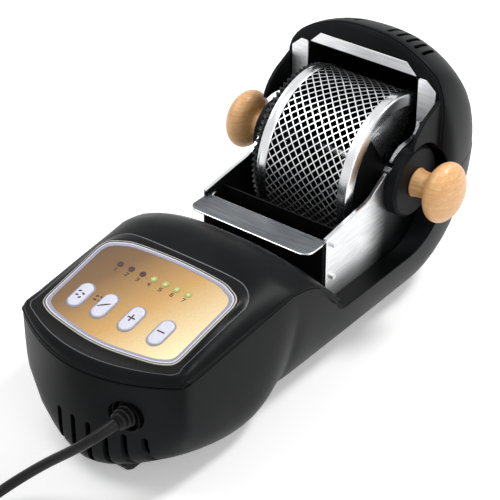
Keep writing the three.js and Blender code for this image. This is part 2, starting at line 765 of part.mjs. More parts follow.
// Front plate with the shelf over it and a tab at each side.
const tabX = plateX - gap
const tabTopZ = -7.5
const tabBottomZ = -44
const tabRearY = -83
const shelfTopZ = -8.8
const shelfRearY = -92
let shelf = prism('z', shelfOutline(), shelfTopZ - sheet, shelfTopZ)
function shelfOutline() {
  const shape = new THREE.Shape()
  shape.moveTo(-shelfHalfWidth, shelfRearY)
  shape.absarc(-shelfHalfWidth + shelfCorner, shelfFrontY + shelfCorner, shelfCorner,
    Math.PI, 1.5 * Math.PI)
  shape.absarc(shelfHalfWidth - shelfCorner, shelfFrontY + shelfCorner, shelfCorner,
    -Math.PI / 2, 0)
  shape.lineTo(shelfHalfWidth, shelfRearY)
  return shape
}
shelf = shelf.add(box(-tabX, tabX, chamberFrontY - sheet, chamberFrontY, chamberFloorZ,
  shelfTopZ))
for (const side of [-1, 1]) {
  const inside = side * (tabX - sheet)
  const outside = side * tabX
  shelf = shelf.add(box(Math.min(inside, outside), Math.max(inside, outside),
    chamberFrontY - sheet, tabRearY, tabBottomZ, tabTopZ))
}
for (const [y, z] of boltPlaces) {
  shelf = shelf.subtract(rod('x', boltRadius + gap, -far, far, y, z, 12))
}
addPiece('front_shelf', shelf, steel)

let boltNumber = 0
for (const side of [-1, 1]) {
  for (const [y, z] of boltPlaces) {
    boltNumber += 1
    const headX = tabX - sheet - gap
    const bolt = spin([[headX - boltHeadHeight, boltHeadRadius - gap],
      [headX - boltHeadHeight + gap, boltHeadRadius], [headX, boltHeadRadius],
      [headX, boltRadius], [plateX + boltHeadRadius, boltRadius]], 12)
    addPiece(`shelf_bolt_${boltNumber}`, bolt.translate([0, y, z]).scale([side, 1, 1]), steel)
  }
}

// Curved sheets around the drum and the two heating rods below it.
function arcSheet(radius, from, to, x0, x1) {
  const shape = new THREE.Shape()
  shape.absarc(0, 0, radius + sheet, from, to)
  shape.absarc(0, 0, radius, to, from, true)
  return prism('x', shape, x0, x1, 7)
}

const degrees = THREE.MathUtils.degToRad
addPiece('reflector', arcSheet(reflectorRadius, degrees(-173), degrees(-85), -tabX, tabX), steel)
const guard = arcSheet(guardRadius, degrees(-50), degrees(-8), drumLeftX + sheet, tabX)
  .add(arcSheet(guardRadius, degrees(-33), degrees(-8), -tabX, drumLeftX + sheet * 2))
addPiece('rear_guard', guard, steel)
heaterAngles.forEach((angle, i) => {
  const [y, z] = polar(heaterOrbit, angle)
  addPiece(`heater_rod_${i + 1}`, rod('x', heaterRadius, -tabX, tabX, y, z, 16), ceramic)
})

// Perforated drum: tiles that each hold one diamond hole and a quarter hole at each corner.
const meshLeftX = drumLeftX + ringThickness
const meshRightX = drumRightX - ringThickness
const meshOuter = drumRadius - ringThickness - gap * 0.7
const barShare = 0.16

function meshTiles() {
  const hole = (1 - barShare) / 2
  const flat = [[hole, 0], [1 - hole, 0], [1, hole], [1, 1 - hole], [1 - hole, 1], [hole, 1],
    [0, 1 - hole], [0, hole], [0.5, 0.5 - hole], [0.5 + hole, 0.5], [0.5, 0.5 + hole],
    [0.5 - hole, 0.5]]
  const faces = [[0, 1, 8], [1, 9, 8], [1, 2, 9], [2, 3, 9], [3, 10, 9], [3, 4, 10],
    [4, 5, 10], [5, 11, 10], [5, 6, 11], [6, 7, 11], [7, 8, 11], [7, 0, 8]]
  const walls = [[1, 2], [3, 4], [5, 6], [7, 0], [9, 8], [10, 9], [11, 10], [8, 11]]
  const points = []
  const startCorners = [0, 1, 2, 7]
  const endCorners = [3, 4, 5, 6]
  const triangle = (a, b, c) => {
    if (a.distanceTo(b) > meshBar && b.distanceTo(c) > meshBar && c.distanceTo(a) > meshBar) {
      points.push(a, b, c)
    }
  }
  for (let column = 0; column < meshAround; column += 1) {
    for (let row = 0; row < meshAlong; row += 1) {
      const place = ([u, v], radius) => {
        const [y, z] = polar(radius, ((column + u) / meshAround) * 2 * Math.PI)
        const x = THREE.MathUtils.lerp(meshLeftX, meshRightX, (row + v) / meshAlong)
        return new THREE.Vector3(x, y, z)
      }
      const corners = flat.map(([u, v], corner) => {
        const atStart = row === 0 && startCorners.includes(corner)
        const atEnd = row === meshAlong - 1 && endCorners.includes(corner)
        return atStart || atEnd ? [Math.round(u), Math.round(v)] : [u, v]
      })
      const high = corners.map((corner) => place(corner, meshOuter))
      const low = corners.map((corner) => place(corner, meshOuter - meshThickness))
      for (const [a, b, c] of faces) {
        triangle(high[a], high[b], high[c])
        triangle(low[a], low[c], low[b])
      }
      const rims = row === 0 ? walls.concat([[0, 1]]) : walls.slice()
      if (row === meshAlong - 1) rims.push([4, 5])
      for (const [a, b] of rims) {
        triangle(high[a], low[b], high[b])
        triangle(high[a], low[a], low[b])
      }
    }
  }
  return solidOf(new THREE.BufferGeometry().setFromPoints(points))
}

function ring(x0, x1, inner, outerRadius, sides = 44) {
  return rod('x', outerRadius, x0, x1, 0, 0, sides)
    .subtract(rod('x', inner, x0 - cutOverrun, x1 + cutOverrun, 0, 0, sides))
}

const meshInner = meshOuter - meshThickness
addPiece('drum_mesh', meshTiles(), steel)

const ringInner = drumRadius - ringThickness
const flangeInner = drumRadius - ringWidth
addPiece('ring_left', ring(drumLeftX, drumLeftX + ringWidth, ringInner, drumRadius)
  .add(ring(drumLeftX, drumLeftX + ringThickness - gap, flangeInner, drumRadius)), steel)
addPiece('ring_right', ring(drumRightX - ringWidth, drumRightX, ringInner, drumRadius), steel)

const endRadius = meshInner - gap * 2
const leftPlateX = drumLeftX + endPlateInset
const rightPlateX = drumRightX - endPlateInset
const shaftBore = rod('x', shaftRadius + gap, -far, far, 0, 0, 16)
const bossRadius = shaftRadius * 2
const hatch = new THREE.Shape()
hatch.absarc(0, 0, hatchOffset + hatchRadius, degrees(60), degrees(120))
hatch.absarc(0, 0, hatchOffset - hatchRadius, degrees(120), degrees(60), true)
const leftPlate = rod('x', endRadius, leftPlateX, leftPlateX + endPlateThickness, 0, 0, 40)
  .add(rod('x', bossRadius, leftPlateX, leftPlateX + bossRadius, 0, 0, 16)).subtract(shaftBore)
const rightPlate = rod('x', endRadius, rightPlateX - endPlateThickness, rightPlateX, 0, 0, 40)
  .add(rod('x', bossRadius, rightPlateX - bossRadius, rightPlateX, 0, 0, 16))
  .subtract(shaftBore).subtract(prism('x', hatch, rightPlateX - cutOverrun, far, 6))
addPiece('end_plate_left', leftPlate, steel)
addPiece('end_plate_right', rightPlate, steel)

const vaneFrom = leftPlateX + endPlateThickness + gap
const vaneTo = rightPlateX - endPlateThickness - gap
for (let i = 0; i < vaneCount; i += 1) {
  const vane = box(vaneFrom, vaneTo, endRadius - vaneHeight, endRadius, -vaneThickness / 2,
    vaneThickness / 2)
  addPiece(`mixing_vane_${i + 1}`, vane.rotate([(i / vaneCount) * 360, 0, 0]), steel)
}

const shaftReach = discInnerX + cutOverrun
addPiece('drum_shaft', rod('x', shaftRadius, -shaftReach, shaftReach, 0, 0, 16), steel)

const shutterX = rightPlateX + gap
const shutterShape = new THREE.Shape()
shutterShape.absarc(0, 0, hatchOffset + hatchRadius + sheet, degrees(56), degrees(124))
shutterShape.absarc(0, 0, hatchOffset - hatchRadius - sheet, degrees(124), degrees(56), true)
const shutterHub = rod('x', bossRadius, shutterX, shutterX + sheet, 0, 0, 16)
const shutterArm = box(shutterX, shutterX + sheet, -bossRadius / 2, bossRadius / 2, 0,
  hatchOffset - hatchRadius)
addPiece('drum_shutter', prism('x', shutterShape, shutterX, shutterX + sheet, 6)
  .add(shutterHub).add(shutterArm).subtract(shaftBore), steel)

// Gear drive. At rest a tooth of the drum's gear points at a gap of the pinion.
const toothRootShare = 2.33
const toothTipShare = 0.67

function gearShape(teeth, phase, bore) {
  const pitch = gearModule * teeth / 2
  const shape = new THREE.Shape()
  const points = []
  for (let i = 0; i < teeth; i += 1) {
    const middle = phase + (i / teeth) * 2 * Math.PI
    const root = pitch - gearModule * 1.27
    const rootHalf = gearModule * toothRootShare / 2 / root
    const tipHalf = gearModule * toothTipShare / 2 / (pitch + gearModule)
    points.push(polar(root, middle - rootHalf), polar(pitch + gearModule, middle - tipHalf),
      polar(pitch + gearModule, middle + tipHalf), polar(root, middle + rootHalf))
  }
  shape.setFromPoints(points.map(([u, v]) => new THREE.Vector2(u, v)))
  shape.holes.push(new THREE.Path().absarc(0, 0, bore, 0, 2 * Math.PI))
  return shape
}

const drumGear = prism('x', gearShape(drumTeeth, pinionAngle, flangeInner - gearClearance),
  gearX, gearX + gearWidth, 24)
addPiece('drum_gear', drumGear, brass)
const pinionPhase = pinionAngle + Math.PI + Math.PI / pinionTeeth
const pinion = prism('x', gearShape(pinionTeeth, pinionPhase, motorShaftRadius + gap), gearX,
  gearX + gearWidth, 8).translate([0, pinionY, pinionZ])
addPiece('pinion_gear', pinion, brass)
const bracketX = gearX + gearWidth + gap * 2
const bracketThickness = 1.5
const motorX = bracketX + bracketThickness + gap
addPiece('motor_shaft', rod('x', motorShaftRadius, gearX - gearClearance, motorX - gap,
  pinionY, pinionZ, 16), steel)
const motor = spin([[motorX, motorRadius - sheet], [motorX + sheet, motorRadius],
  [motorX + motorLength * 0.4, motorRadius], [motorX + motorLength * 0.4, motorRadius - sheet],
  [motorX + motorLength - sheet, motorRadius - sheet],
  [motorX + motorLength, motorRadius - sheet * 2]], 24)
addPiece('gear_motor', motor.translate([0, pinionY, pinionZ]), darkSteel)
const coverTopZ = -floorDrop + wall
const bracketFoot = box(bracketX, bracketX + motorRadius, pinionY - motorRadius + gap,
  pinionY + bracketRear, bracketZ, bracketZ + bracketThickness)
const bracket = box(bracketX, bracketX + bracketThickness, pinionY - motorRadius + gap,
  pinionY + bracketRear, bracketZ, pinionZ).add(rod('x', motorRadius - gap, bracketX,
  bracketX + bracketThickness, pinionY, pinionZ))
  .add(bracketFoot).subtract(rod('x', motorShaftRadius + gap, -far, 0, pinionY, pinionZ, 16))
addPiece('motor_bracket', bracket, steel)

// Handles on the ends of the drum's shaft, each in an open cradle beside the side plate.
for (const [side, name] of [[-1, 'left'], [1, 'right']]) {
  const mirror = [side, 1, 1]
  const cradleX = plateX + sheet + gap
  const cradle = rod('x', discRadius, cradleX, cradleX + cradleThickness, 0, 0, 32)
    .subtract(slotCut)
  addPiece(`cradle_${name}`, cradle.scale(mirror), black)
  const bore = rod('x', shaftRadius + gap, 0, shaftReach + gap, 0, 0, 16)
  const disc = spin([[discInnerX, discRadius], [discOuterX - sheet * 2, discRadius],
    [discOuterX, discRadius - sheet * 2]], 32).subtract(bore)
  addPiece(`handle_disc_${name}`, disc.scale(mirror), black)
  const profile = [[discOuterX + gap, neckRadius + sheet], [discOuterX + sheet * 2, neckRadius],
    [knobCentreX - knobHalfDepth, neckRadius]]
  const steps = 9
  for (let i = 1; i < steps; i += 1) {
    const [along, across] = polar(1, Math.PI * (1 - i / steps))
    if (across * knobRadius > neckRadius || i > steps / 2) {
      profile.push([knobCentreX + knobHalfDepth * along, across * knobRadius])
    }
  }
  addPiece(`knob_${name}`, spin(profile, 24).scale(mirror), wood)
}

// Bottom cover, boards, fan and feet.
const bottomCover = box(-bottomHalfWidth + gap, bottomHalfWidth - gap, hatchFrontY + gap,
  hatchRearY - gap, -floorDrop, coverTopZ)
const powerBoardY = [-200, -120]
const powerBoardHalf = 19
const powerBoardZ = coverTopZ + postRadius * 2
let cover = bottomCover
for (const y of powerBoardY) {
  for (const x of [-powerBoardHalf, powerBoardHalf]) {
    const inward = postRadius + sheet
    cover = cover.add(rod('z', postRadius, coverTopZ - sheet, powerBoardZ - gap,
      x - Math.sign(x) * inward, y + (y === powerBoardY[0] ? inward : -inward), 12))
  }
}
addPiece('bottom_cover', cover, black)

const board = box(-powerBoardHalf, powerBoardHalf, powerBoardY[0], powerBoardY[1], powerBoardZ,
  powerBoardZ + boardThickness)
const boardTop = powerBoardZ + boardThickness - gap
const transformer = box(-powerBoardHalf / 2, powerBoardHalf / 2, powerBoardY[1] - footLength * 1.5,
  powerBoardY[1] - footLength / 2, boardTop, boardTop + footLength)
const capacitor = rod('z', footWidth / 2, boardTop, boardTop + footWidth * 1.4, 0,
  powerBoardY[0] + footLength, 16)
addPiece('power_board', board.add(transformer).add(capacitor), green)

const controlOutline = roundedRectangle(-boardReach, boardReach, boardFrontY, boardRearY,
  boardThickness)
let control = onDeck(controlOutline, boardDepth - boardThickness, boardDepth)
const plungerTop = -wall - sheet * 1.5 - buttonTravel - gap
for (const x of buttonPlaces) {
  const body = roundedRectangle(x - wall, x + wall, buttonY - wall, buttonY + wall, sheet)
  const plunger = new THREE.Shape().absarc(x, buttonY, sheet * 1.5, 0, 2 * Math.PI)
  control = control.add(onDeck(body, boardDepth - gap, boardDepth + wall * 1.5))
  control = control.add(onDeck(plunger, boardDepth, plungerTop))
}
addPiece('control_board', control, green)

const frameBore = fanSize / 2 - sheet * 1.5
const fanFrame = prism('y', roundedRectangle(fanX - fanSize / 2, fanX + fanSize / 2,
  fanZ - fanSize / 2, fanZ + fanSize / 2, wall), fanY, fanY + fanDepth, 1)
const hubRadius = fanSize * 0.16
let frame = fanFrame.subtract(rod('y', frameBore, fanY - cutOverrun, fanY + fanDepth + cutOverrun,
  fanX, fanZ, 24))
const strut = box(-frameBore - sheet, frameBore + sheet, fanY + fanDepth - wall, fanY + fanDepth,
  -sheet, sheet)
frame = frame.add(strut.translate([fanX, 0, fanZ]))
frame = frame.add(strut.translate([0, 0, 0]).rotate([0, 90, 0]).translate([fanX, 0, fanZ]))
frame = frame.add(rod('y', hubRadius, fanY + fanDepth - wall, fanY + fanDepth, fanX, fanZ, 16))
frame = frame.add(box(fanX - footWidth, fanX + footWidth, fanY, fanY + fanDepth,
  coverTopZ + gap, fanZ - fanSize / 2 + sheet))
addPiece('fan_frame', frame, nylon)
const bladeReach = frameBore - sheet
const rotorTo = fanY + fanDepth - wall - gap
let rotor = rod('y', hubRadius, fanY + sheet, rotorTo, 0, 0, 16)
for (let i = 0; i < fanBladeCount; i += 1) {
  const blade = box(hubRadius - sheet, bladeReach, -fanDepth * 0.36, fanDepth * 0.36,
    -sheet / 2, sheet / 2).rotate([35, 0, 0])
  rotor = rotor.add(blade.translate([0, fanY + fanDepth / 2 - sheet / 2, 0])
    .rotate([0, (i / fanBladeCount) * 360, 0]))
}
addPiece('fan_rotor', rotor.translate([fanX, 0, fanZ]), nylon)

const footNames = ['foot_front_left', 'foot_front_right', 'foot_rear_left', 'foot_rear_right']
const footPlaces = [[-13, -256], [13, -256], [-30, 20], [30, 20]]
footPlaces.forEach(([x, y], i) => {
  const pad = roundedRectangle(x - footLength / 2, x + footLength / 2, y - footWidth / 2,
    y + footWidth / 2, footWidth / 3)
  addPiece(footNames[i], prism('z', pad, -floorDrop - footHeight, -floorDrop - gap, 2), rubber)
})

// Strain relief around the cord where it leaves the front face.
const tableZ = -floorDrop - footHeight
const glandFaceY = -frontReach + glandInset
const cordCurve = new THREE.CatmullRomCurve3(
  [...cordRoute, [coilStartX, coilY + cordRadius * 2 + gap, coilLowZ]]
    .map((point) => new THREE.Vector3(...point)), false, 'centripetal')

// Closed rings around the points of a path, square to it, one radius for each.
function sweep(points, radii, sides) {
  const up = new THREE.Vector3(0, 0, 1)
  const rings = points.map((point, i) => {
    const ahead = points[Math.min(i + 1, points.length - 1)].clone()
    const along = ahead.sub(points[Math.max(i - 1, 0)]).normalize()
    const across = along.clone().cross(up).normalize()
    const over = across.clone().cross(along)
    const corners = []
    for (let side = 0; side < sides; side += 1) {
      const [u, v] = polar(radii[i], (side / sides) * 2 * Math.PI)
      corners.push(point.clone().addScaledVector(across, u).addScaledVector(over, v))
    }
    return corners
  })
  return loft(rings)
}

const cordSteps = 40
const cordPoints = cordCurve.getSpacedPoints(cordSteps)
const reliefSteps = 8
const reliefPoints = cordPoints.slice(0, reliefSteps + 1)
const reliefRadii = reliefPoints.map((_, i) => THREE.MathUtils.lerp(glandRadius * 0.62,
  cordRadius + sheet, i / reliefSteps))
const collar = rod('y', glandRadius - wall, glandFaceY - wall * 2, glandFaceY + wall * 3, glandX,
  glandZ, 20).add(rod('y', glandRadius, glandFaceY - wall * 2, glandFaceY - wall * 1.24, glandX,
  glandZ, 20))
const reliefBore = sweep(cordPoints, cordPoints.map(() => cordRadius + gap), 8)
addPiece('strain_relief', collar.add(sweep(reliefPoints, reliefRadii, 12)).subtract(reliefBore),
  rubber)
addPiece('power_cord', sweep(cordPoints, cordPoints.map(() => cordRadius), 8), rubber)

// The rest of the cord is one coil that spirals in on the table and out again on top.
const coilCurve = []
const coilMiddle = coilTurns * Math.PI
for (let i = 0; i <= coilTurns * coilSteps; i += 1) {
  const angle = (i / coilSteps) * 2 * Math.PI
  const offset = angle - coilMiddle
  const radius = coilInner + coilPitch * Math.abs(offset) / (2 * Math.PI)
  const climb = THREE.MathUtils.smoothstep(offset, -Math.PI / 2, Math.PI / 2)
  coilCurve.push(new THREE.Vector3(coilX + radius * Math.cos(angle),
    coilY - radius * Math.sin(angle), coilLowZ + climb * coilPitch))
}
const lead = new THREE.Vector3(0, cordRadius * 2, 0)
coilCurve.unshift(coilCurve[0].clone().add(lead))
coilCurve.push(coilCurve[coilCurve.length - 1].clone().sub(lead))
addPiece('cord_coil', sweep(coilCurve, coilCurve.map(() => cordRadius), 6), rubber)

let least = Infinity
for (let i = 0; i < coilCurve.length; i += 1) {
  for (let j = i + coilSteps / 4; j < coilCurve.length; j += 1) {
    const a = new THREE.Line3(coilCurve[i], coilCurve[Math.min(i + 1, coilCurve.length - 1)])
    const near = a.closestPointToPoint(coilCurve[j], true, new THREE.Vector3())
    least = Math.min(least, near.distanceTo(coilCurve[j]) - cordRadius * 2)
  }
}
console.log(`least gap of the coil to itself: ${least.toFixed(2)} mm`)

const tieSide = coilX - coilInner - coilPitch
const tieOuter = box(tieSide - tieReach, tieSide + tieReach, coilY - tieWidth / 2,
  coilY + tieWidth / 2, tableZ + gap / 2, coilLowZ + coilPitch + cordRadius + tieThickness * 1.5)
const tieInner = box(tieSide - tieReach + tieThickness, tieSide + tieReach - tieThickness,
  coilY - tieWidth, coilY + tieWidth, tableZ + gap / 2 + tieThickness,
  coilLowZ + coilPitch + cordRadius + tieThickness / 2)
addPiece('coil_tie', tieOuter.subtract(tieInner), rubber)

const plugEnd = coilCurve[coilCurve.length - 1]
const plugProfile = [[gap, cordRadius + sheet], [plugSleeve, cordRadius + sheet * 2],
  [plugSleeve + wall, plugRadius - wall], [plugSleeve + wall * 3, plugRadius],
  [plugSleeve + plugBody, plugRadius], [plugSleeve + plugBody, 0]]
let plug = spin(plugProfile.slice(0, -1), 20)
for (const side of [-1, 1]) {
  plug = plug.add(rod('x', plugPinRadius, plugSleeve + plugBody - wall,
    plugSleeve + plugBody + plugPinLength, side * plugPinPitch / 2, 0, 10))
}
addPiece('mains_plug', plug.rotate([0, 0, -90]).translate(plugEnd.toArray()), rubber)

// The feet stand on z = 0, with the origin under the middle of the part without its cord.
const rearmostY = hingeY + knuckleRadius
machine.position.set(0, (frontReach - rearmostY) / 2, floorDrop + footHeight)

export default part
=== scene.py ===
# Coffee roaster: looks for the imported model. Lengths in the settings are millimetres
# from the drum's axis, with X right, Y back and Z up, unless a note says otherwise.
import json
import math

import bmesh
import bpy
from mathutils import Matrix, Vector

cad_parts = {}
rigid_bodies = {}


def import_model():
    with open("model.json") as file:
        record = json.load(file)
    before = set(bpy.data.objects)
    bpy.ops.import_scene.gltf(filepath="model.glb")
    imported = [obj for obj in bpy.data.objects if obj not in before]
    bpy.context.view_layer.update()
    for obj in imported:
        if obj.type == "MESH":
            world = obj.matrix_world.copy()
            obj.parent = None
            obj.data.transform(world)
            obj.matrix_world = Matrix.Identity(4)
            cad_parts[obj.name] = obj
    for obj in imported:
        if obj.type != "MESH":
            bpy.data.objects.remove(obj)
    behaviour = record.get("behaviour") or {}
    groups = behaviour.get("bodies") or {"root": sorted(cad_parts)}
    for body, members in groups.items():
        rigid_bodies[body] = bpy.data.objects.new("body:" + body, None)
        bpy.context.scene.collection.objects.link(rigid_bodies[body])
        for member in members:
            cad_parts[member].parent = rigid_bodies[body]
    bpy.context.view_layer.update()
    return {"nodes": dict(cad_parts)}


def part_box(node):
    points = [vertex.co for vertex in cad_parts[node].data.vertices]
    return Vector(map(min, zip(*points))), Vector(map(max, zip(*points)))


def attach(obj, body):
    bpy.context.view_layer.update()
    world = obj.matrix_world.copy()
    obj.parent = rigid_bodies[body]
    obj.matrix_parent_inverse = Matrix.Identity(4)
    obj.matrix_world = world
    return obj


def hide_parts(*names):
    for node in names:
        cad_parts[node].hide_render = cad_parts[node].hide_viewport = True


for old in list(bpy.data.objects):
    bpy.data.objects.remove(old)

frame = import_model()
scene = bpy.context.scene
scene.view_settings.view_transform = "Standard"
print("frame loaded:", len(frame["nodes"]), "nodes")

lowCorner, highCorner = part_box("drum_shaft")
drumAxis = (lowCorner + highCorner) / 2


def at(x, y, z):
    return Vector((x / 1000, drumAxis.y + y / 1000, drumAxis.z + z / 1000))


def mix(a, b, share):
    return a + (b - a) * share


def smoothStep(value, low, high):
    share = min(1, max(0, (value - low) / (high - low)))
    return share * share * (3 - 2 * share)


# Camera: where the photograph was taken from.
camera = {"azimuth": 37.88, "elevation": 33.32, "eye": (612.9, -898.4, 629.5), "lens": 123.2}


def makeCamera():
    turn, lift = math.radians(camera["azimuth"]), math.radians(camera["elevation"])
    back = Vector((math.sin(turn) * math.cos(lift), -math.cos(turn) * math.cos(lift),
                   math.sin(lift)))
    data = bpy.data.cameras.new("camera")
    data.lens = camera["lens"]
    data.sensor_width = 36
    data.clip_start, data.clip_end = 0.01, 20
    cam = bpy.data.objects.new("camera", data)
    cam.location = at(*camera["eye"])
    cam.rotation_mode = "QUATERNION"
    cam.rotation_quaternion = (-back).to_track_quat("-Z", "Y")
    scene.collection.objects.link(cam)
    scene.camera = cam


makeCamera()


# One socket of a tree of nodes. Sums on it add Math nodes.
class Wire:
    def __init__(self, owner, socket):
        self.owner = owner
        self.socket = socket

    def maths(self, operation, a, b):
        return self.owner.node("ShaderNodeMath", {"operation": operation}, {0: a, 1: b})

    def __add__(self, other):
        return self.maths("ADD", self, other)

    def __radd__(self, other):
        return self.maths("ADD", other, self)

    def __sub__(self, other):
        return self.maths("SUBTRACT", self, other)

    def __rsub__(self, other):
        return self.maths("SUBTRACT", other, self)

    def __mul__(self, other):
        return self.maths("MULTIPLY", self, other)

    def __rmul__(self, other):
        return self.maths("MULTIPLY", other, self)

    def __truediv__(self, other):
        return self.maths("DIVIDE", self, other)

    def __rtruediv__(self, other):
        return self.maths("DIVIDE", other, self)

    def clamped(self):
        return self.maths("MINIMUM", self.maths("MAXIMUM", self, 0.0), 1.0)

    def ramp(self, low, high):
        settings = {"interpolation_type": "SMOOTHSTEP"}
        values = {"Value": self, "From Min": low, "From Max": high}
        return self.owner.node("ShaderNodeMapRange", settings, values)


def colour(code):
    channels = [int(code[i:i + 2], 16) / 255 for i in (0, 2, 4)]
    linear = [c / 12.92 if c <= 0.04045 else ((c + 0.055) / 1.055) ** 2.4 for c in channels]
    return (*linear, 1.0)


# A tree of shader nodes, for a material or for the world.
class Nodes:
    def __init__(self, tree):
        self.tree = tree

    def node(self, kind, settings, inputs, output=0):
        made = self.tree.nodes.new(kind)
        for key, value in settings.items():
            if key == "stops":
                self.setStops(made, value)
            else:
                setattr(made, key, value)
        for key, value in inputs.items():
            socket = made.inputs[key]
            if isinstance(value, Wire):
                self.tree.links.new(value.socket, socket)
            else:
                socket.default_value = value
        return Wire(self, made.outputs[output])

    def setStops(self, ramp, stops):
        elements = ramp.color_ramp.elements
        while len(elements) < len(stops):
            elements.new(1.0)
        for element, (place, shade) in zip(elements, stops):
            element.position = place
            element.color = shade

    def blend(self, factor, a, b, mode="MIX"):
        settings = {"data_type": "RGBA", "blend_type": mode}
        return self.node("ShaderNodeMix", settings, {"Factor": factor, 6: a, 7: b}, 2)

    # 1 where the surface is looked at, straight or by reflection, and 0 where it lights others
    def lookedAt(self):
        rays = ("Is Camera Ray", "Is Glossy Ray", "Is Transmission Ray")
        straight, glossy, through = (self.node("ShaderNodeLightPath", {}, {}, ray)
                                     for ray in rays)
        return straight + glossy + through


# A material: a Principled shader whose fixed numbers are set on its own sockets.
class Paint(Nodes):
    def __init__(self, name, base, roughness, **fixed):
        self.material = bpy.data.materials.new(name)
        self.material.use_nodes = True
        super().__init__(self.material.node_tree)
        self.shader = self.tree.nodes["Principled BSDF"]
        self.shader.inputs["Base Color"].default_value = colour(base)
        self.shader.inputs["Roughness"].default_value = roughness
        for key, value in fixed.items():
            self.shader.inputs[key.replace("_", " ")].default_value = value
        self.place = self.node("ShaderNodeTexCoord", {}, {}, "Object")

    def feed(self, socket, wire):
        self.tree.links.new(wire.socket, self.shader.inputs[socket])

    def noise(self, scale, detail=2.0, stretch=(1, 1, 1), distortion=0.0):
        spread = self.node("ShaderNodeMapping", {}, {"Vector": self.place, "Scale": stretch})
        return self.node("ShaderNodeTexNoise", {}, {"Vector": spread, "Scale": scale,
                                                    "Detail": detail, "Distortion": distortion})

    def part(self, axis):
        return self.node("ShaderNodeSeparateXYZ", {}, {"Vector": self.place}, axis)

    def relief(self, height, strength, distance, softEdge=None):
        values = {"Height": height, "Strength": strength, "Distance": distance}
        if softEdge:
            values["Normal"] = self.node("ShaderNodeBevel", {"samples": 4}, {"Radius": softEdge})
        self.feed("Normal", self.node("ShaderNodeBump", {}, values))


# Finishes. Noise scales are per metre of the part, and lifts are in metres.
housing = {"colour": "101112", "sheen": "18191b", "roughness": 0.38, "gloss": 0.06,
           "grain": 2600, "lift": 0.00006}
sheetSteel = {"bright": "d6d8da", "dull": "a9acb0", "roughness": 0.3, "brush": 900}
# The shelf's steel is painted darker than the sheet steel: a painted reflection of the dark housing
# round it.
shelfSteel = {"bright": "83868a", "dull": "54575b", "roughness": 0.34, "brush": 900}
rubber = {"colour": "0c0c0e", "roughness": 0.42, "grain": 1800, "gloss": 0.2}


def housingPaint():
    paint = Paint("satin_black", housing["colour"], housing["roughness"],
                  Specular_IOR_Level=housing["gloss"])
    cloud = paint.noise(14, 3)
    paint.feed("Base Color", paint.blend(cloud.ramp(0.35, 0.75), colour(housing["colour"]),
                                         colour(housing["sheen"])))
    grain = paint.noise(housing["grain"], 2)
    paint.feed("Roughness", housing["roughness"] + (grain - 0.5) * 0.1 + (cloud - 0.5) * 0.1)
    paint.relief(grain, 0.35, housing["lift"], 0.0005)
    return paint.material


def brushedPaint(name, finish, along=(1, 1, 1)):
    paint = Paint(name, finish["bright"], finish["roughness"], Metallic=1.0)
    streak = paint.noise(finish["brush"], 4, along)
    cloud = paint.noise(22, 3)
    tone = (streak * 0.6 + cloud * 0.4).ramp(0.3, 0.7)
    paint.feed("Base Color", paint.blend(tone, colour(finish["dull"]), colour(finish["bright"])))
    paint.feed("Roughness", finish["roughness"] + (streak - 0.5) * 0.25)
    paint.relief(streak, 0.25, 0.00005, 0.0003)
    return paint.material


def plainPaint(name, base, roughness, grain=1500, softEdge=0.0003, **fixed):
    paint = Paint(name, base, roughness, **fixed)
    speck = paint.noise(grain, 2)
    shade = [c * 0.82 for c in colour(base)[:3]] + [1.0]
    paint.feed("Base Color", paint.blend(speck.ramp(0.35, 0.65), shade, colour(base)))
    paint.feed("Roughness", roughness + (speck - 0.5) * 0.15)
    paint.relief(speck, 0.3, 0.00004, softEdge)
    return paint.material


# A smooth finish: only its gloss and its tone drift a little.
def glossPaint(name, base, roughness, **fixed):
    paint = Paint(name, base, roughness, **fixed)
    drift = paint.noise(60, 3)
    shade = [c * 0.86 for c in colour(base)[:3]] + [1.0]
    paint.feed("Base Color", paint.blend(drift.ramp(0.3, 0.7), shade, colour(base)))
    paint.feed("Roughness", roughness + (drift - 0.5) * 0.08)
    return paint.material


# Colours of the chamber's steel. Its dark colour is painted shade, and the shade begins at the
# given place along Y.
chamberSteel = {"bright": "f0f1f2", "worn": "b4b6b9", "dark": "1c1d1f", "roughness": 0.34,
                "brush": 900, "shadeFrom": -52}


# The chamber's steel is pale in front, and painted dark behind and higher up: a painted shade where
# the handle disc and the hood shadow the plates.
def platePaint():
    s = chamberSteel
    paint = Paint("chamber_steel", s["bright"], s["roughness"], Metallic=0.9)
    streak = paint.noise(s["brush"], 3, (1, 0.08, 1))
    # How far behind and how high a point is: the mask of the painted shade.
    behind = paint.part(1) - (drumAxis.y + s["shadeFrom"] / 1000)
    shade = (behind * 28 - (paint.part(2) - drumAxis.z) * 3 + (streak - 0.5) * 0.12).clamped()
    clean = paint.blend(streak.ramp(0.3, 0.7) * 0.35, colour(s["bright"]), colour(s["worn"]))
    paint.feed("Base Color", paint.blend(shade.ramp(0.0, 1.0), clean, colour(s["dark"])))
    paint.feed("Roughness", s["roughness"] + (streak - 0.5) * 0.2)
    paint.relief(streak, 0.2, 0.00004)
    return paint.material


wood = {"light": "f0cb98", "mid": "e2ad72", "dark": "cc8f52", "roughness": 0.34}


def woodPaint():
    paint = Paint("turned_beech", wood["light"], wood["roughness"], Coat_Weight=0.25,
                  Coat_Roughness=0.25)
    grain = paint.noise(90, 4, (0.35, 1, 6), distortion=0.6)
    fibre = paint.noise(420, 3, (0.2, 1, 5))
    tone = paint.node("ShaderNodeValToRGB", {"stops": [(0.25, colour(wood["dark"])),
                                                       (0.5, colour(wood["mid"])),
                                                       (0.75, colour(wood["light"]))]},
                      {"Fac": grain * 0.55 + fibre * 0.45})
    paint.feed("Base Color", tone)
    paint.feed("Roughness", wood["roughness"] + fibre * 0.2)
    paint.relief(fibre, 0.3, 0.00008)
    return paint.material


film = {"rearLeft": "4a3622", "frontLeft": "7c5c36", "middle": "c79c5c", "right": "fff3c8",
        "fleck": "7d5d38", "roughness": 0.38, "half": 60, "rear": -150, "depth": 120}
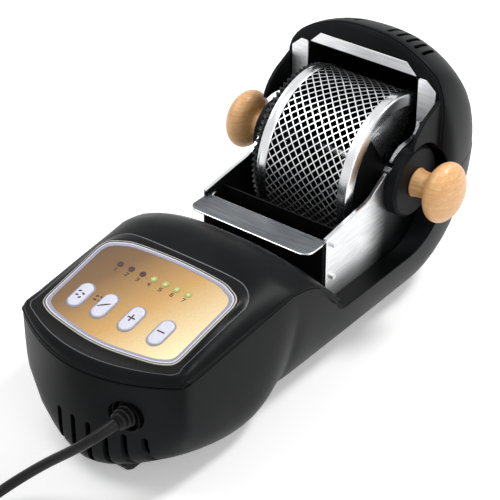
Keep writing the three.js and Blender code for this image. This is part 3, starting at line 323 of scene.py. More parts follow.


# The film runs from brown at its rear left corner to cream at its front right corner. This is
# painted light on the gold: painted shade toward the rear left, and a painted highlight toward the
# front right.
def filmPaint():
    s = film
    paint = Paint("gold_film", s["middle"], s["roughness"], Metallic=0.35,
                  Coat_Weight=0.3, Coat_Roughness=0.12)
    across = (paint.part(0) * 1000 + s["half"]) / (2 * s["half"])  # 0 left, 1 right
    ahead = (drumAxis.y + s["rear"] / 1000 - paint.part(1)) / (s["depth"] / 1000)  # 0 rear, 1 front
    # The gradient of painted shade and painted highlight across the film.
    tone = paint.node("ShaderNodeValToRGB", {"stops": [(0.0, colour(s["rearLeft"])),
                                                       (0.32, colour(s["frontLeft"])),
                                                       (0.6, colour(s["middle"])),
                                                       (1.0, colour(s["right"]))]},
                      {"Fac": across * 0.72 + ahead * 0.28})
    fleck = paint.noise(1400, 2)
    paint.feed("Base Color", paint.blend(fleck.ramp(0.3, 0.7) * 0.16, tone,
                                         colour(s["fleck"]), "MULTIPLY"))
    paint.feed("Roughness", s["roughness"] + (fleck - 0.5) * 0.2)
    paint.relief(fleck, 0.2, 0.00003)
    return paint.material


paints = {
    "housing": housingPaint(),
    "sheet": brushedPaint("brushed_steel", sheetSteel, (0.06, 1, 1)),
    "shelf": brushedPaint("shelf_steel_painted_reflection", shelfSteel, (0.05, 1, 1)),
    "bright": glossPaint("bright_steel", "e4e6e8", 0.24, Metallic=1.0),
    "gear": plainPaint("dark_gear", "2c2d2f", 0.4, Metallic=0.8),
    "motor": plainPaint("motor_can", "7d8085", 0.38, Metallic=1.0),
    "board": plainPaint("board_green", "2b6a3f", 0.55),
    "nylon": plainPaint("black_nylon", "1a1a1c", 0.55),
    "ceramic": plainPaint("heater_ceramic", "d9d3c6", 0.6),
    "wood": woodPaint(),
    "film": filmPaint(),
    "silver": plainPaint("lavender_trim", "9c9cae", 0.35),
    "white": plainPaint("button_white", "dddeee", 0.35),
    "groove": plainPaint("dark_line", "34323a", 0.5),
    "surround": plainPaint("gloss_black", "0b0b0c", 0.3, 1600, 0.0004, Specular_IOR_Level=0.12),
    # Steel painted near black as painted shade, for the drum's inside, the liner and faces in the
    # chamber's shadow.
    "shadeSteel": plainPaint("painted_shade_steel", "0f0f10", 0.45, Specular_IOR_Level=0.12),
    "flange": brushedPaint("flange_steel", {"bright": "fafafa", "dull": "dcdde0",
                                            "roughness": 0.42, "brush": 900}, (0.06, 1, 1)),
    "strand": plainPaint("strand_steel", "f2f3f5", 0.3, Metallic=0.85),
    "plate": platePaint(),
    # A grey painted highlight along the raised edge of the glossy surround.
    "edgeHighlight": plainPaint("painted_edge_highlight", "4a4b50", 0.35),
    "cream": plainPaint("cream_lip", "c9c5b4", 0.35),
    "rubber": plainPaint("black_rubber", rubber["colour"], rubber["roughness"], rubber["grain"],
                         Specular_IOR_Level=rubber["gloss"]),
    "cord": glossPaint("cord_sheath", "08080a", 0.2, Specular_IOR_Level=0.25),
    "tie": plainPaint("tie_nylon", "202124", 0.4),
    "ink": plainPaint("dark_print", "3a2015", 0.5),
    "unlit": plainPaint("unlit_lens", "3b1414", 0.2, Coat_Weight=0.5),
    "lens": plainPaint("green_lens", "a9b85e", 0.25, Coat_Weight=0.5),
    "lensCore": plainPaint("pale_lens_core", "d9dc9a", 0.25, Coat_Weight=0.5),
}
print("finishes made:", len(paints))


# Which finish each of the CAD nodes wears.
nodeFinish = {
    "housing": ["base_housing", "deck_cover", "hood", "cradle_left", "cradle_right",
                "handle_disc_left", "handle_disc_right", "bottom_cover"],
    "film": ["panel_overlay"],
    "silver": ["panel_bezel"],
    "white": ["button_light_roast", "button_dark_roast", "button_plus", "button_minus"],
    "unlit": ["led_strip"],
    "sheet": ["hood_liner", "side_plate_left", "side_plate_right", "drum_shutter",
              "motor_bracket"],
    "shelf": ["front_shelf"],
    "bright": ["hinge_pin", "shelf_bolt_1", "shelf_bolt_2", "shelf_bolt_3", "shelf_bolt_4",
               "drum_mesh", "ring_left", "ring_right", "drum_shaft", "motor_shaft"],
    # The drum's inner parts wear the steel painted dark as painted shade.
    "shadeSteel": ["reflector", "rear_guard", "end_plate_left", "end_plate_right", "mixing_vane_1",
             "mixing_vane_2", "mixing_vane_3"],
    "ceramic": ["heater_rod_1", "heater_rod_2"],
    "gear": ["drum_gear", "pinion_gear"],
    "motor": ["gear_motor"],
    "wood": ["knob_left", "knob_right"],
    "board": ["power_board", "control_board"],
    "nylon": ["fan_frame", "fan_rotor"],
    "rubber": ["foot_front_left", "foot_front_right", "foot_rear_left", "foot_rear_right",
               "strain_relief", "mains_plug"],
    "cord": ["power_cord", "cord_coil"],
    "tie": ["coil_tie"],
}


# The CAD nodes keep their shapes. Corners are welded, and only crisp edges stay split.
def dressNodes():
    finishOf = {name: finish for finish, names in nodeFinish.items() for name in names}
    for name, piece in frame["nodes"].items():
        mesh = piece.data
        if "custom_normal" in mesh.attributes:
            mesh.attributes.remove(mesh.attributes["custom_normal"])
        mesh.materials.clear()
        mesh.materials.append(paints[finishOf[name]])
        mesh.polygons.foreach_set("use_smooth", [True] * len(mesh.polygons))
        mesh.polygons.foreach_set("material_index", [0] * len(mesh.polygons))
        weld = piece.modifiers.new("weld", "WELD")
        weld.merge_threshold = 0.000005
        split = piece.modifiers.new("edges", "EDGE_SPLIT")
        split.split_angle = math.radians(31)
        split.use_edge_sharp = False
        even = piece.modifiers.new("even", "WEIGHTED_NORMAL")
        even.keep_sharp = True


dressNodes()
print("nodes dressed")


# Mains cord: one curve along the free run and round the coil.
cord = {"radius": 3.5, "sleeve": 5.2, "sleeveKnots": 5, "sleeveTaper": 3.2, "coilX": -75.6,
        "coilY": -392, "turns": 4, "steps": 24, "inner": 31, "pitch": 7.8, "lowZ": -105,
        "route": [(35, -274.5, -48), (35, -286, -48), (31.5, -298, -51.5),
                  (25.4, -308.5, -57.8), (14.5, -315, -67), (2.4, -320, -77),
                  (-8, -326, -86.5), (-17, -334, -95), (-23.5, -345, -101.5),
                  (-27.5, -358, -105.3), (-28.8, -371, -106.2)]}


# The coil spirals in and out again, and climbs a layer in the half turn between.
def cordPoints():
    s = cord
    found = [Vector(p) for p in s["route"]]
    startX = s["coilX"] + s["inner"] + s["pitch"] * s["turns"] / 2
    found.append(Vector((startX, s["coilY"] + s["radius"] * 2 + 0.3, s["lowZ"])))
    middle = s["turns"] * math.pi
    for i in range(s["turns"] * s["steps"] + 1):
        angle = i / s["steps"] * 2 * math.pi
        offset = angle - middle
        radius = s["inner"] + s["pitch"] * abs(offset) / (2 * math.pi)
        climb = smoothStep(offset, -math.pi / 2, math.pi / 2)
        found.append(Vector((s["coilX"] + radius * math.cos(angle),
                             s["coilY"] - radius * math.sin(angle),
                             s["lowZ"] + climb * s["pitch"])))
    found.append(found[-1] - Vector((0, s["radius"] * 2, 0)))
    return [at(*p) for p in found]


# A round tube along the points, closed at both ends. Shares make it thinner at each point.
def makeTube(name, path, radius, finish, steps, shares):
    data = bpy.data.curves.new(name, "CURVE")
    data.dimensions = "3D"
    data.bevel_depth = radius / 1000
    data.bevel_resolution = 6
    data.resolution_u = steps
    data.use_fill_caps = True
    data.materials.append(paints[finish])
    spline = data.splines.new("NURBS")
    spline.points.add(len(path) - 1)
    for knot, point, share in zip(spline.points, path, shares):
        knot.co = (*point, 1)
        knot.radius = share
    spline.order_u = 4
    spline.use_endpoint_u = True
    piece = bpy.data.objects.new(name, data)
    scene.collection.objects.link(piece)
    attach(piece, "base")
    return piece


# The sleeve round the cord's first stretch narrows along it.
def makeSleeve():
    s = cord
    path = [at(*p) for p in s["route"][:s["sleeveKnots"]]]
    shares = [mix(1, s["radius"] / s["sleeve"], i / s["sleeveTaper"]) for i in range(len(path))]
    piece = makeTube("cord_sleeve", path, s["sleeve"], "rubber", 12, shares)
    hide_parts("strain_relief")
    return piece


def makeCord():
    points = cordPoints()
    piece = makeTube("mains_cord", points, cord["radius"], "cord", 6, [1] * len(points))
    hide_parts("power_cord", "cord_coil")
    makeSleeve()


makeCord()


# Turns a mesh's faces to look outward.
def faceOut(mesh):
    work = bmesh.new()
    work.from_mesh(mesh)
    bmesh.ops.recalc_face_normals(work, faces=work.faces)
    work.to_mesh(mesh)
    work.free()


# A new piece that rides on its carrier. Shades give each face one of the finishes.
def addMesh(name, points, faces, finish, carrier, smooth=True, finishes=None, shades=None):
    mesh = bpy.data.meshes.new(name)
    mesh.from_pydata(points, [], faces)
    for key in finishes or [finish]:
        mesh.materials.append(paints[key])
    if shades:
        mesh.polygons.foreach_set("material_index", shades)
    mesh.polygons.foreach_set("use_smooth", [smooth] * len(mesh.polygons))
    mesh.validate()
    faceOut(mesh)
    piece = bpy.data.objects.new(name, mesh)
    scene.collection.objects.link(piece)
    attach(piece, carrier)
    return piece


# Rounds the edges that are sharper than the angle.
def softened(piece, width, angle=35, segments=2):
    bevel = piece.modifiers.new("soft", "BEVEL")
    bevel.width = width / 1000
    bevel.segments = segments
    bevel.limit_method = "ANGLE"
    bevel.angle_limit = math.radians(angle)
    bevel.harden_normals = True


# Faces between rings of points, with the same count in each. Ends are closed if asked.
def skin(rings, closed=True, capped=True, looped=False):
    count = len(rings[0])
    faces = []
    total = len(rings) if looped else len(rings) - 1
    for r in range(total):
        a, b = r * count, ((r + 1) % len(rings)) * count
        for i in range(count if closed else count - 1):
            j = (i + 1) % count
            faces.append((a + i, a + j, b + j, b + i))
    if capped and not looped:
        faces.append(tuple(range(count))[::-1])
        faces.append(tuple((len(rings) - 1) * count + i for i in range(count)))
    return [p for ring in rings for p in ring], faces


# Splits the edges that are sharper than the angle, and leaves the rest smooth.
def crisp(piece, angle):
    piece.modifiers.new("edges", "EDGE_SPLIT").split_angle = math.radians(angle)


# Puts several shapes, each its points and faces, into one.
def joined(parts):
    points, faces = [], []
    for more, sides in parts:
        start = len(points)
        points += more
        faces += [tuple(start + i for i in side) for side in sides]
    return points, faces


# Evenly spread points of a circle of radius 1.
def circle(steps):
    turns = [2 * math.pi * i / steps for i in range(steps)]
    return [(math.cos(turn), math.sin(turn)) for turn in turns]


# A profile of (x, radius) pairs turned about the drum's axis.
def turned(profile, sides):
    return [[at(x, radius * c, radius * s) for c, s in circle(sides)] for x, radius in profile]


# Drum: a lattice of flat strands with rhombic holes, and a rolled ring at each end.
lattice = {"left": -33.4, "right": 43.9, "outer": 58.6, "inner": 57.8, "across": 11,
           "around": 48, "bar": 0.17}


def makeDrumLattice():
    s = lattice
    hole = (1 - s["bar"]) / 2
    flat = [(hole, 0), (1 - hole, 0), (1, hole), (1, 1 - hole), (1 - hole, 1), (hole, 1),
            (0, 1 - hole), (0, hole), (0.5, 0.5 - hole), (0.5 + hole, 0.5),
            (0.5, 0.5 + hole), (0.5 - hole, 0.5)]
    tops = [(0, 1, 8), (1, 9, 8), (1, 2, 9), (2, 3, 9), (3, 10, 9), (3, 4, 10), (4, 5, 10),
            (5, 11, 10), (5, 6, 11), (6, 7, 11), (7, 8, 11), (7, 0, 8)]
    walls = [(1, 2), (3, 4), (5, 6), (7, 0), (9, 8), (10, 9), (11, 10), (8, 11)]
    points, faces, shades, known = [], [], [], {}

    def corner(u, v, radius):
        key = (round(u, 4) % s["around"], round(v, 4), radius)
        if key not in known:
            known[key] = len(points)
            angle = 2 * math.pi * u / s["around"]
            x = mix(s["left"], s["right"], v / s["across"])
            points.append(at(x, radius * math.cos(angle), radius * math.sin(angle)))
        return known[key]

    for column in range(s["around"]):
        for row in range(s["across"]):
            high = [corner(column + u, row + v, s["outer"]) for u, v in flat]
            low = [corner(column + u, row + v, s["inner"]) for u, v in flat]
            faces += [(high[a], high[b], high[c]) for a, b, c in tops]
            faces += [(low[a], low[c], low[b]) for a, b, c in tops]
            faces += [(high[a], low[a], low[b], high[b]) for a, b in walls]
            # The tops of the strands are bright. Their inner faces and hole walls wear the steel
            # painted dark as painted shade.
            shades += [0] * len(tops) + [1] * (len(tops) + len(walls))
    piece = addMesh("drum_lattice", points, faces, "strand", "drum", smooth=False,
                    finishes=["strand", "shadeSteel"], shades=shades)
    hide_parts("drum_mesh")


drumRing = {"left": -34, "right": 44.5, "width": 8, "outer": 60, "inner": 58.8, "roll": 1.1,
            "flange": 51, "sheet": 0.9, "groove": ((0.8, 0.35), (1.6, 0.35), (2.2, 0.05))}


def makeDrumRings():
    s = drumRing
    roll, outer, sheet = s["roll"], s["outer"], s["sheet"]
    for side, edge, inward in (("left", s["left"], 1), ("right", s["right"], -1)):
        far = edge + inward * s["width"]
        profile = [(edge + inward * sheet, s["flange"]), (edge, s["flange"]),
                   (edge, outer - roll)]
        profile += [(edge + inward * roll * (1 - math.cos(math.radians(a))),
                     outer - roll + roll * math.sin(math.radians(a))) for a in (30, 60, 90)]
        profile += [(edge + inward * (roll + along), outer - depth)
                    for along, depth in s["groove"]]
        profile += [(far - inward * 0.5, outer - 0.05), (far, outer - 0.5), (far, s["inner"]),
                    (edge + inward * sheet, s["inner"])]
        points, faces = skin(turned(profile, 120), capped=False, looped=True)
        piece = addMesh(f"drum_ring_{side}", points, faces, "bright", "drum")
        crisp(piece, 40)
        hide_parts(f"ring_{side}")


makeDrumLattice()
makeDrumRings()
print("drum made")


# Wooden knobs: a turned head on a slightly waisted neck.
knob = {"from": 64.3, "centre": 87.8, "halfDepth": 11.9, "radius": 22.5, "neck": 10,
        "tip": 0.01, "fullness": 0.94, "steps": 28,
        "waist": ((0, 0.4), (0.5, 1), (1.6, 0.6), (4, 0), (9, -0.3))}


def makeKnobs():
    s = knob
    profile = [(s["from"], s["tip"])]
    profile += [(s["from"] + along, s["neck"] + grow) for along, grow in s["waist"]]
    least = profile[-1][1]
    for i in range(s["steps"] + 1):
        angle = math.pi * (1 - i / s["steps"])
        radius = s["radius"] * math.sin(angle) ** s["fullness"]
        if radius > least or i > s["steps"] / 2:
            profile.append((s["centre"] + s["halfDepth"] * math.cos(angle), max(radius, s["tip"])))
    for side, way in (("left", -1), ("right", 1)):
        points, faces = skin(turned([(way * x, radius) for x, radius in profile], 72))
        piece = addMesh(f"wooden_knob_{side}", points, faces, "wood", "drum")
        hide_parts(f"knob_{side}")


makeKnobs()
print("knobs made")


# Body: one set of forms that the deck, the base and the hood share. The powers make the
# round of its sides and rear.
body = {"axisY": 12, "rear": 89, "belly": 107.5, "halfWidth": 75, "narrowing": 6, "length": 301,
        "roundPower": 0.9125, "sidePower": 5, "front": -289, "bow": 23, "corner": (69, -266),
        "slope": 12.4, "edgeZ": -19, "edgeRise": 0.115, "planeZ": -13.7, "levelY": -158,
        "crestY": -148, "rimY": -106, "rimZ": -39, "lowZ": -103.6, "seam": 2.2,
        "fall": [(-0.24, 0.01), (0, 0.06), (0.19, 0.12), (0.38, 0.23), (0.57, 0.4), (0.79, 0.68),
                 (1, 1)]}
deckTurn = math.radians(body["slope"])


# A point on the panel's sloping plane, with Y measured along the slope.
def onDeck(x, y, height):
    corner = body["corner"][1]
    along = y - corner
    return at(x, corner + along * math.cos(deckTurn) - height * math.sin(deckTurn),
              body["planeZ"] + along * math.sin(deckTurn) + height * math.cos(deckTurn))


# A table of (value, result) pairs, read between its rows.
def between(table, value):
    if value <= table[0][0]:
        return table[0][1]
    for (a, low), (b, high) in zip(table, table[1:]):
        if value <= b:
            return mix(low, high, (value - a) / (b - a))
    return table[-1][1]


def widthAt(y):
    if y > body["axisY"]:
        return body["halfWidth"]
    return body["halfWidth"] - body["narrowing"] * ((body["axisY"] - y) / body["length"]) ** 2


def frontArc(x):
    return body["front"] + body["bow"] * (x / body["corner"][0]) ** 2


# How far the deck has fallen from its crest to the chamber's rim.
def fallShare(y):
    return between(body["fall"], (y - body["crestY"]) / (body["rimY"] - body["crestY"]))


def slopeZ(y):
    return body["planeZ"] + math.tan(deckTurn) * (y - body["corner"][1])


def fallen(high, y):
    return mix(high, body["rimZ"], fallShare(y)) if y > body["levelY"] else high


def edgeHeight(y):
    held = min(y, body["levelY"])
    return fallen(body["edgeZ"] + body["edgeRise"] * (held - body["corner"][1]), y)


def planeHeight(y):
    return fallen(slopeZ(min(y, body["levelY"])), y)


# The power of the deck's section at each place along it: the higher, the squarer.
crowning = [(-289, 40), (-266, 40), (-250, 18), (-230, 12), (-205, 8.3), (-180, 5), (-158, 2.9),
            (-148, 2.7), (-106, 2.7)]
nose = {"y": -268, "lowest": -14, "reach": 4.5, "power": 0.6}


def deckHeight(x, y):
    share = min(1, abs(x) / widthAt(y))
    edge = edgeHeight(y)
    middle = max(planeHeight(y), nose["lowest"]) if y < nose["y"] else planeHeight(y)
    reach = min(1, max(0, y - frontArc(x)) / nose["reach"])
    return edge + (middle - edge) * (1 - share ** between(crowning, y)) * reach ** nose["power"]


# How far a ray from a point goes to an outline in plan.
def rayTo(outline, centre, angle):
    dx, dy = math.cos(angle), math.sin(angle)
    best = 0
    for (ax, ay), (bx, by) in zip(outline, outline[1:] + outline[:1]):
        ex, ey = bx - ax, by - ay
        cross = dx * ey - dy * ex
        if abs(cross) < 1e-9:
            continue
        far = ((ax - centre[0]) * ey - (ay - centre[1]) * ex) / cross
        share = ((ax - centre[0]) * dy - (ay - centre[1]) * dx) / cross
        if far > 0 and -1e-9 <= share <= 1 + 1e-9:
            best = max(best, far)
    return best


# Both halves of an outline whose right half is given.
def mirrored(right):
    return right + [(-x, y) for x, y in right[::-1] if abs(x) > 1e-6]


# The outer edge of the panel's trim in plan.
trimOutline = mirrored([(0, -270.5), (10, -270.2), (25, -268.4), (42, -265.6), (50, -263),
                        (55, -260), (57, -256), (57.4, -250), (57.6, -225), (57.9, -205),
                        (57.6, -201), (56.3, -196.5), (53, -193), (48, -190.6), (40, -187.6),
                        (25, -186), (10, -185.3), (0, -185.1)])


# The glossy black surround, drawn past the trim.
surround = {"front": 5.4, "half": 62, "rear": -180.5, "corner": 17, "arcHalf": 56, "middle": 24,
            "turn": ((60, 7.2), (63, 11), (62, 16))}


def surroundOutline():
    s = surround
    last = frontArc(s["arcHalf"])
    right = []
    for i in range(13):
        x = i / 12 * s["arcHalf"]
        right.append((x, frontArc(x) + s["front"]))
    right += [(x, last + back) for x, back in s["turn"]]
    for i in range(11):
        angle = math.pi / 2 * i / 10
        right.append((s["half"] - s["corner"] * (1 - math.cos(angle)),
                      s["rear"] - s["corner"] * (1 - math.sin(angle))))
    return mirrored(right + [(s["middle"], s["rear"]), (0, s["rear"])])


def deckOutline():
    half, corner = body["corner"]
    right = [(half * i / 14, frontArc(half * i / 14)) for i in range(15)]
    right += [(widthAt(y), y) for y in range(int(corner) + 6, int(body["rimY"]), 8)]
    right.append((widthAt(body["rimY"]), body["rimY"]))
    return mirrored(right)


deckRays = {"centre": (0, -226), "count": 176, "beside": 0.012}


# The deck's rays are evenly turned, with three more at each of its corners.
def deckAngles():
    s = deckRays
    found = [2 * math.pi * (i + 0.5) / s["count"] for i in range(s["count"])]
    for x in (-1, 1):
        for px, py in (body["corner"], (widthAt(body["rimY"]), body["rimY"])):
            turn = math.atan2(py - s["centre"][1], x * px - s["centre"][0]) % (2 * math.pi)
            found += [turn - s["beside"], turn, turn + s["beside"]]
    return sorted(found)


# The deck's rings from the panel outward: the kind, how far along it, and the finish. The grey
# finish of the line rings is a painted highlight along the ridge at the surround's edge.
deckRings = [("inside", 0.94, 1), ("inside", 0.99, 1), ("plane", 0, 1), ("slope", 0.12, 1),
             ("slope", 0.35, 1), ("slope", 0.65, 1), ("slope", 0.96, 1), ("line", 0, 2),
             ("line", 0.5, 2), ("line", 0.51, 0), ("open", 0.02, 0), ("open", 0.1, 0),
             ("open", 0.22, 0), ("open", 0.36, 0), ("open", 0.5, 0), ("open", 0.64, 0),
             ("open", 0.76, 0), ("open", 0.86, 0), ("open", 0.94, 0), ("open", 0.985, 0),
             ("edge", 0.9, 0), ("edge", 0.35, 0), ("edge", 0, 0), ("skirt", 1.3, 0),
             ("under", 1.3, 0), ("under", 4.5, 0)]
deckEdge = {"inset": 0.4, "sunk": 0.15, "line": 0.8, "ridge": 0.25, "rolled": 1.2, "under": 1.6,
            "roll": {0.9: 0.35, 0.35: 0.12, 0: -0.35}}


def makeDeck():
    s = deckEdge
    centre = deckRays["centre"]
    black, edge = surroundOutline(), deckOutline()
    angles = deckAngles()
    rows, shades = [], []
    for kind, value, shade in deckRings:
        ring = []
        for angle in angles:
            near, far, last = (rayTo(o, centre, angle) for o in (trimOutline, black, edge))
            dx, dy = math.cos(angle), math.sin(angle)
            r = {"inside": near * value, "plane": near - s["inset"],
                 "slope": mix(near, far, value), "line": far + value,
                 "open": mix(far + s["line"], last - s["rolled"], value), "edge": last - value,
                 "skirt": last, "under": last - s["under"]}[kind]
            x, y = centre[0] + r * dx, centre[1] + r * dy
            if kind in ("inside", "plane"):
                z = slopeZ(y) - s["sunk"]
            elif kind == "slope":
                z = mix(slopeZ(y), deckHeight(x, y), smoothStep(value, -0.1, 1.0))
            elif kind == "line":
                z = deckHeight(x, y) + (s["ridge"] if value == 0.5 else 0.0)
            elif kind == "open":
                z = deckHeight(x, y)
            else:
                z = deckHeight(centre[0] + last * dx, centre[1] + last * dy)
                z += s["roll"][value] if kind == "edge" else -value
            ring.append(at(x, y, z))
        rows.append(ring)
        shades.append(shade)
    points, faces = skin(rows, capped=False)
    piece = addMesh("deck_top", points, faces, "housing", "base",
                    finishes=["housing", "surround", "edgeHighlight"],
                    shades=[shades[f // len(angles) + 1] for f in range(len(faces))])
    crisp(piece, 38)
    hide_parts("deck_cover")


# Base: perimeter columns, each from its rim down to the opening of the bottom cover. Its
# search for a wall is given by the nearest distance, the farthest one and its steps.
base = {"wall": 2.5, "wellHalf": 54.3, "startZ": -40, "chinPower": 6, "flareFrom": -200,
        "flareTo": -150, "search": (5.0, 140.0, 34),
        "rows": [0, 0.035, 0.09, 0.17, 0.27, 0.38, 0.49, 0.59, 0.68, 0.76, 0.83, 0.885, 0.925,
                 0.955, 0.978, 0.992, 1]}
discRoom = {"radius": 29.5, "near": 53, "far": 90}  # round the drum's axis, for the handle discs
sill = {"front": (-89, -39, 17), "rear": (-12, -22, 34), "low": -56, "top": -6,
        "discFrom": 22, "discTo": 28.88}  # arcs as middle, height and radius
notch = {"y": -150, "width": 6, "depth": 0.9, "from": 20, "to": 60}
chin = {"centreY": -200, "tuckZ": -88, "radius": 16}
cornerPower = [(-104, 1.9), (-96, 2), (-86, 3.2), (-70, 8), (-48, 40), (0, 40)]


def sidePower(y):
    share = smoothStep(y, base["flareFrom"], base["flareTo"])
    return mix(base["chinPower"], 2 * body["roundPower"], share)


def sideWidth(y, z):
    s = notch
    inner = max(0.0, 1 - (abs(z) / body["belly"]) ** sidePower(y))
    cut = s["depth"] * math.exp(-((y - s["y"]) / s["width"]) ** 2)
    cut *= smoothStep(-z, s["from"], s["to"])
    return widthAt(y) * inner ** (1 / body["sidePower"]) - cut


# The chin's front, which tucks under near the surface that the part stands on.
def chinFront(x, z):
    s = chin
    if z >= s["tuckZ"]:
        return frontArc(x)
    share = (s["tuckZ"] - z) / s["radius"]
    return frontArc(x) + s["radius"] * (1 - math.sqrt(max(0, 1 - share ** 2)))


# The distance at which a ray leaves a form, found by halving between two others.
def leaving(isInside, low, high, steps):
    for _ in range(steps):
        r = (low + high) / 2
        if isInside(r):
            low = r
        else:
            high = r
    return low


def frontPoint(angle, z):
    power, back = between(cornerPower, z), chin["centreY"]
    dx, dy = math.sin(angle), -math.cos(angle)

    def isInside(r):
        x, y = r * dx, back + r * dy
        across, ahead = abs(x) / sideWidth(y, z), (back - y) / (back - chinFront(x, z))
        return across ** power + ahead ** power < 1

    r = leaving(isInside, *base["search"])
    return r * dx, back + r * dy


def rearPoint(angle, z):
    dx, dy = math.cos(angle), math.sin(angle)

    def isInside(r):
        depth = (r * dy / body["rear"]) ** 2 + (z / body["belly"]) ** 2
        side = (abs(r * dx) / body["halfWidth"]) ** body["sidePower"]
        return side + depth ** body["roundPower"] < 1

    r = leaving(isInside, *base["search"])
    return r * dx, body["axisY"] + r * dy


# The base's rim: under the deck, low along the chamber, round the discs, under the hood.
def rimHeight(y):
    s = sill
    if y <= body["rimY"]:
        return edgeHeight(y) - body["seam"]
    middle, height, radius = s["front"]
    if y < middle:
        return height - math.sqrt(max(0, radius ** 2 - (middle - y) ** 2))
    middle, height, radius = s["rear"]
    if y < middle:
        return s["low"]
    if y < s["discFrom"]:
        return height - math.sqrt(max(0, radius ** 2 - (y - middle) ** 2))
    if y < s["discTo"]:
        return -math.sqrt(discRoom["radius"] ** 2 - y ** 2)
    return s["top"]


# Columns stand closer where the wall bends: degrees round the chin, then places along Y.
columns = {"front": (0, 5, 10, 15, 20, 25, 30, 35, 39, 42, 44.2, 45.4, 46, 46.27, 46.6, 47.2,
                     48.4, 50.5, 54, 59, 65, 72, 80),
           "side": (-200, -190, -180, -172, -165, -159, -155, -152, -150, -148, -145, -141, -137,
                    -133, -129, -124, -119, -114, -110, -107, -106, -105.6, -104.5, -102.5, -100,
                    -97, -93, -89, -80, -70, -60, -50, -40, -30, -20, -12, -4, 3, 9, 13.5, 17,
                    19.5, 21.2, 21.9, 22.05, 23.5, 25, 26.5, 27.6, 28.4, 28.88, 32),
           "rear": 22, "rearStart": math.asin(24 / 78)}


def baseColumns():
    s = columns
    found = [("front", math.radians(degrees)) for degrees in s["front"]]
    found += [("side", y) for y in s["side"]]
    found += [("rear", mix(s["rearStart"], math.pi / 2, i / (s["rear"] - 1)))
              for i in range(s["rear"])]
    return found


def columnPoint(kind, value, z):
    if kind == "front":
        return frontPoint(value, z)
    if kind == "rear":
        return rearPoint(value, z)
    if value <= body["axisY"]:
        return sideWidth(value, z), value
    depth = ((value - body["axisY"]) / body["rear"]) ** 2 + (z / body["belly"]) ** 2
    share = max(0, 1 - depth ** body["roundPower"])
    return body["halfWidth"] * share ** (1 / body["sidePower"]), value


# A closed shell with an outer and an inner wall, joined over the rim.
def makeBase():
    s = base
    wall, low = s["wall"], body["lowZ"]
    right = []
    for kind, value in baseColumns():
        nearY = value if kind == "side" else columnPoint(kind, value, s["startZ"])[1]
        top = rimHeight(nearY)
        overWell = body["rimY"] - 0.2 < nearY < sill["discTo"] + 0.02
        x, y = columnPoint(kind, value, top)
        back = {"front": wall * math.cos(value), "side": 0, "rear": -wall * math.sin(value)}[kind]
        inner, outer = [], []
        for share in s["rows"]:
            z = mix(top - 0.5, low, share)
            px, py = columnPoint(kind, value, z)
            outer.append((px, py, z))
            nearX = max(0, px - wall * min(1, px / 40))
            inner.append((min(s["wellHalf"], nearX) if overWell else nearX, py + back,
                          mix(top - 0.5, low + wall, share)))
        ix, iy = inner[0][:2]
        rim = [(mix(ix, x, 0.04), mix(iy, y, 0.15), top),
               (mix(ix, x, 0.96 if overWell else 0.8), mix(iy, y, 0.8), top)]
        right.append(inner[::-1] + rim + outer)
    left = [[(-x, y, z) for x, y, z in column] for column in right[::-1]]
    rings = [[at(*p) for p in column] for column in right + left[1:-1]]
    points, faces = skin(rings, closed=False, capped=False, looped=True)
    count = len(rings[0])
    for end in (0, count - 1):
        faces.append(tuple(i * count + end for i in range(len(rings))))
    return addMesh("base_shell", points, faces, "housing", "base")


# Hood: rays from the middle of its mouth, in a fan for each turn about the Y direction. The
# rays stand closer where the rim's groove and the mouth's corners are.
hoodForm = {"centre": (0, 22, -5.7), "rise": 96, "power": 60, "faceHalf": 66.6, "faceArc": 79,
            "faceArcZ": 12, "flatten": 0.82, "swell": 12, "sideSwell": 0.75, "blend": 22,
            "blendTurn": 36, "wall": 2.5, "lowZ": -30, "search": (2.0, 130.0, 30),
            "mouth": [(49.8, -5.7), (49.8, 62), (46.3, 69.9), (0, 69.9)],
            "turns": (0, 3, 7, 11, 16, 21, 26, 31, 36, 40, 44, 48, 51, 53.66, 56, 58.5,
                      *range(61, 90, 3), 90),
            "lifts": [(0.75, 0), (1.0, 0), (1.15, 0.9), (1.75, 0.9), (1.9, 0), (2.6, 0),
                      (3.7, 0), (6, 0), (9, 0), (12.8, 0), (16.5, 0),
                      *((degrees, 0) for degrees in range(20, 88, 4)), (87.5, 0)]}


# Below 1 inside the hood: the smooth highest of the body's round, a ball and a flat face.
def hoodLevel(x, y, z):
    s = hoodForm
    v, w = (y - body["axisY"]) / body["rear"], z / s["rise"]
    share = min(1, max(0, (y - s["centre"][1]) / s["blend"]))
    turn = math.radians(s["blendTurn"])
    angle = math.acos(min(1, (1 - share) * math.cos(turn)))
    grow = s["swell"] * (math.sin(angle) - math.sin(turn)) / (1 - math.sin(turn))
    ovalPart = (v * v + w * w) ** body["roundPower"]
    sidePart = abs(x / body["halfWidth"]) ** body["sidePower"]
    terms = [(ovalPart + sidePart) ** (0.5 / body["roundPower"]),
             math.sqrt((x / s["rise"]) ** 2 + v * v + w * w),
             math.sqrt(s["flatten"] * x * x + (z - s["faceArcZ"]) ** 2) / (s["faceArc"] + grow),
             abs(x) / (s["faceHalf"] + grow * s["sideSwell"])]
    top = max(terms)
    return top * sum((t / top) ** s["power"] for t in terms) ** (1 / s["power"])


def hoodRay(turn, lift):
    direction = (math.cos(lift) * math.cos(turn), math.sin(lift), math.cos(lift) * math.sin(turn))

    def isInside(r):
        return hoodLevel(*(q + r * d for q, d in zip(hoodForm["centre"], direction))) < 1

    return leaving(isInside, *hoodForm["search"]), direction


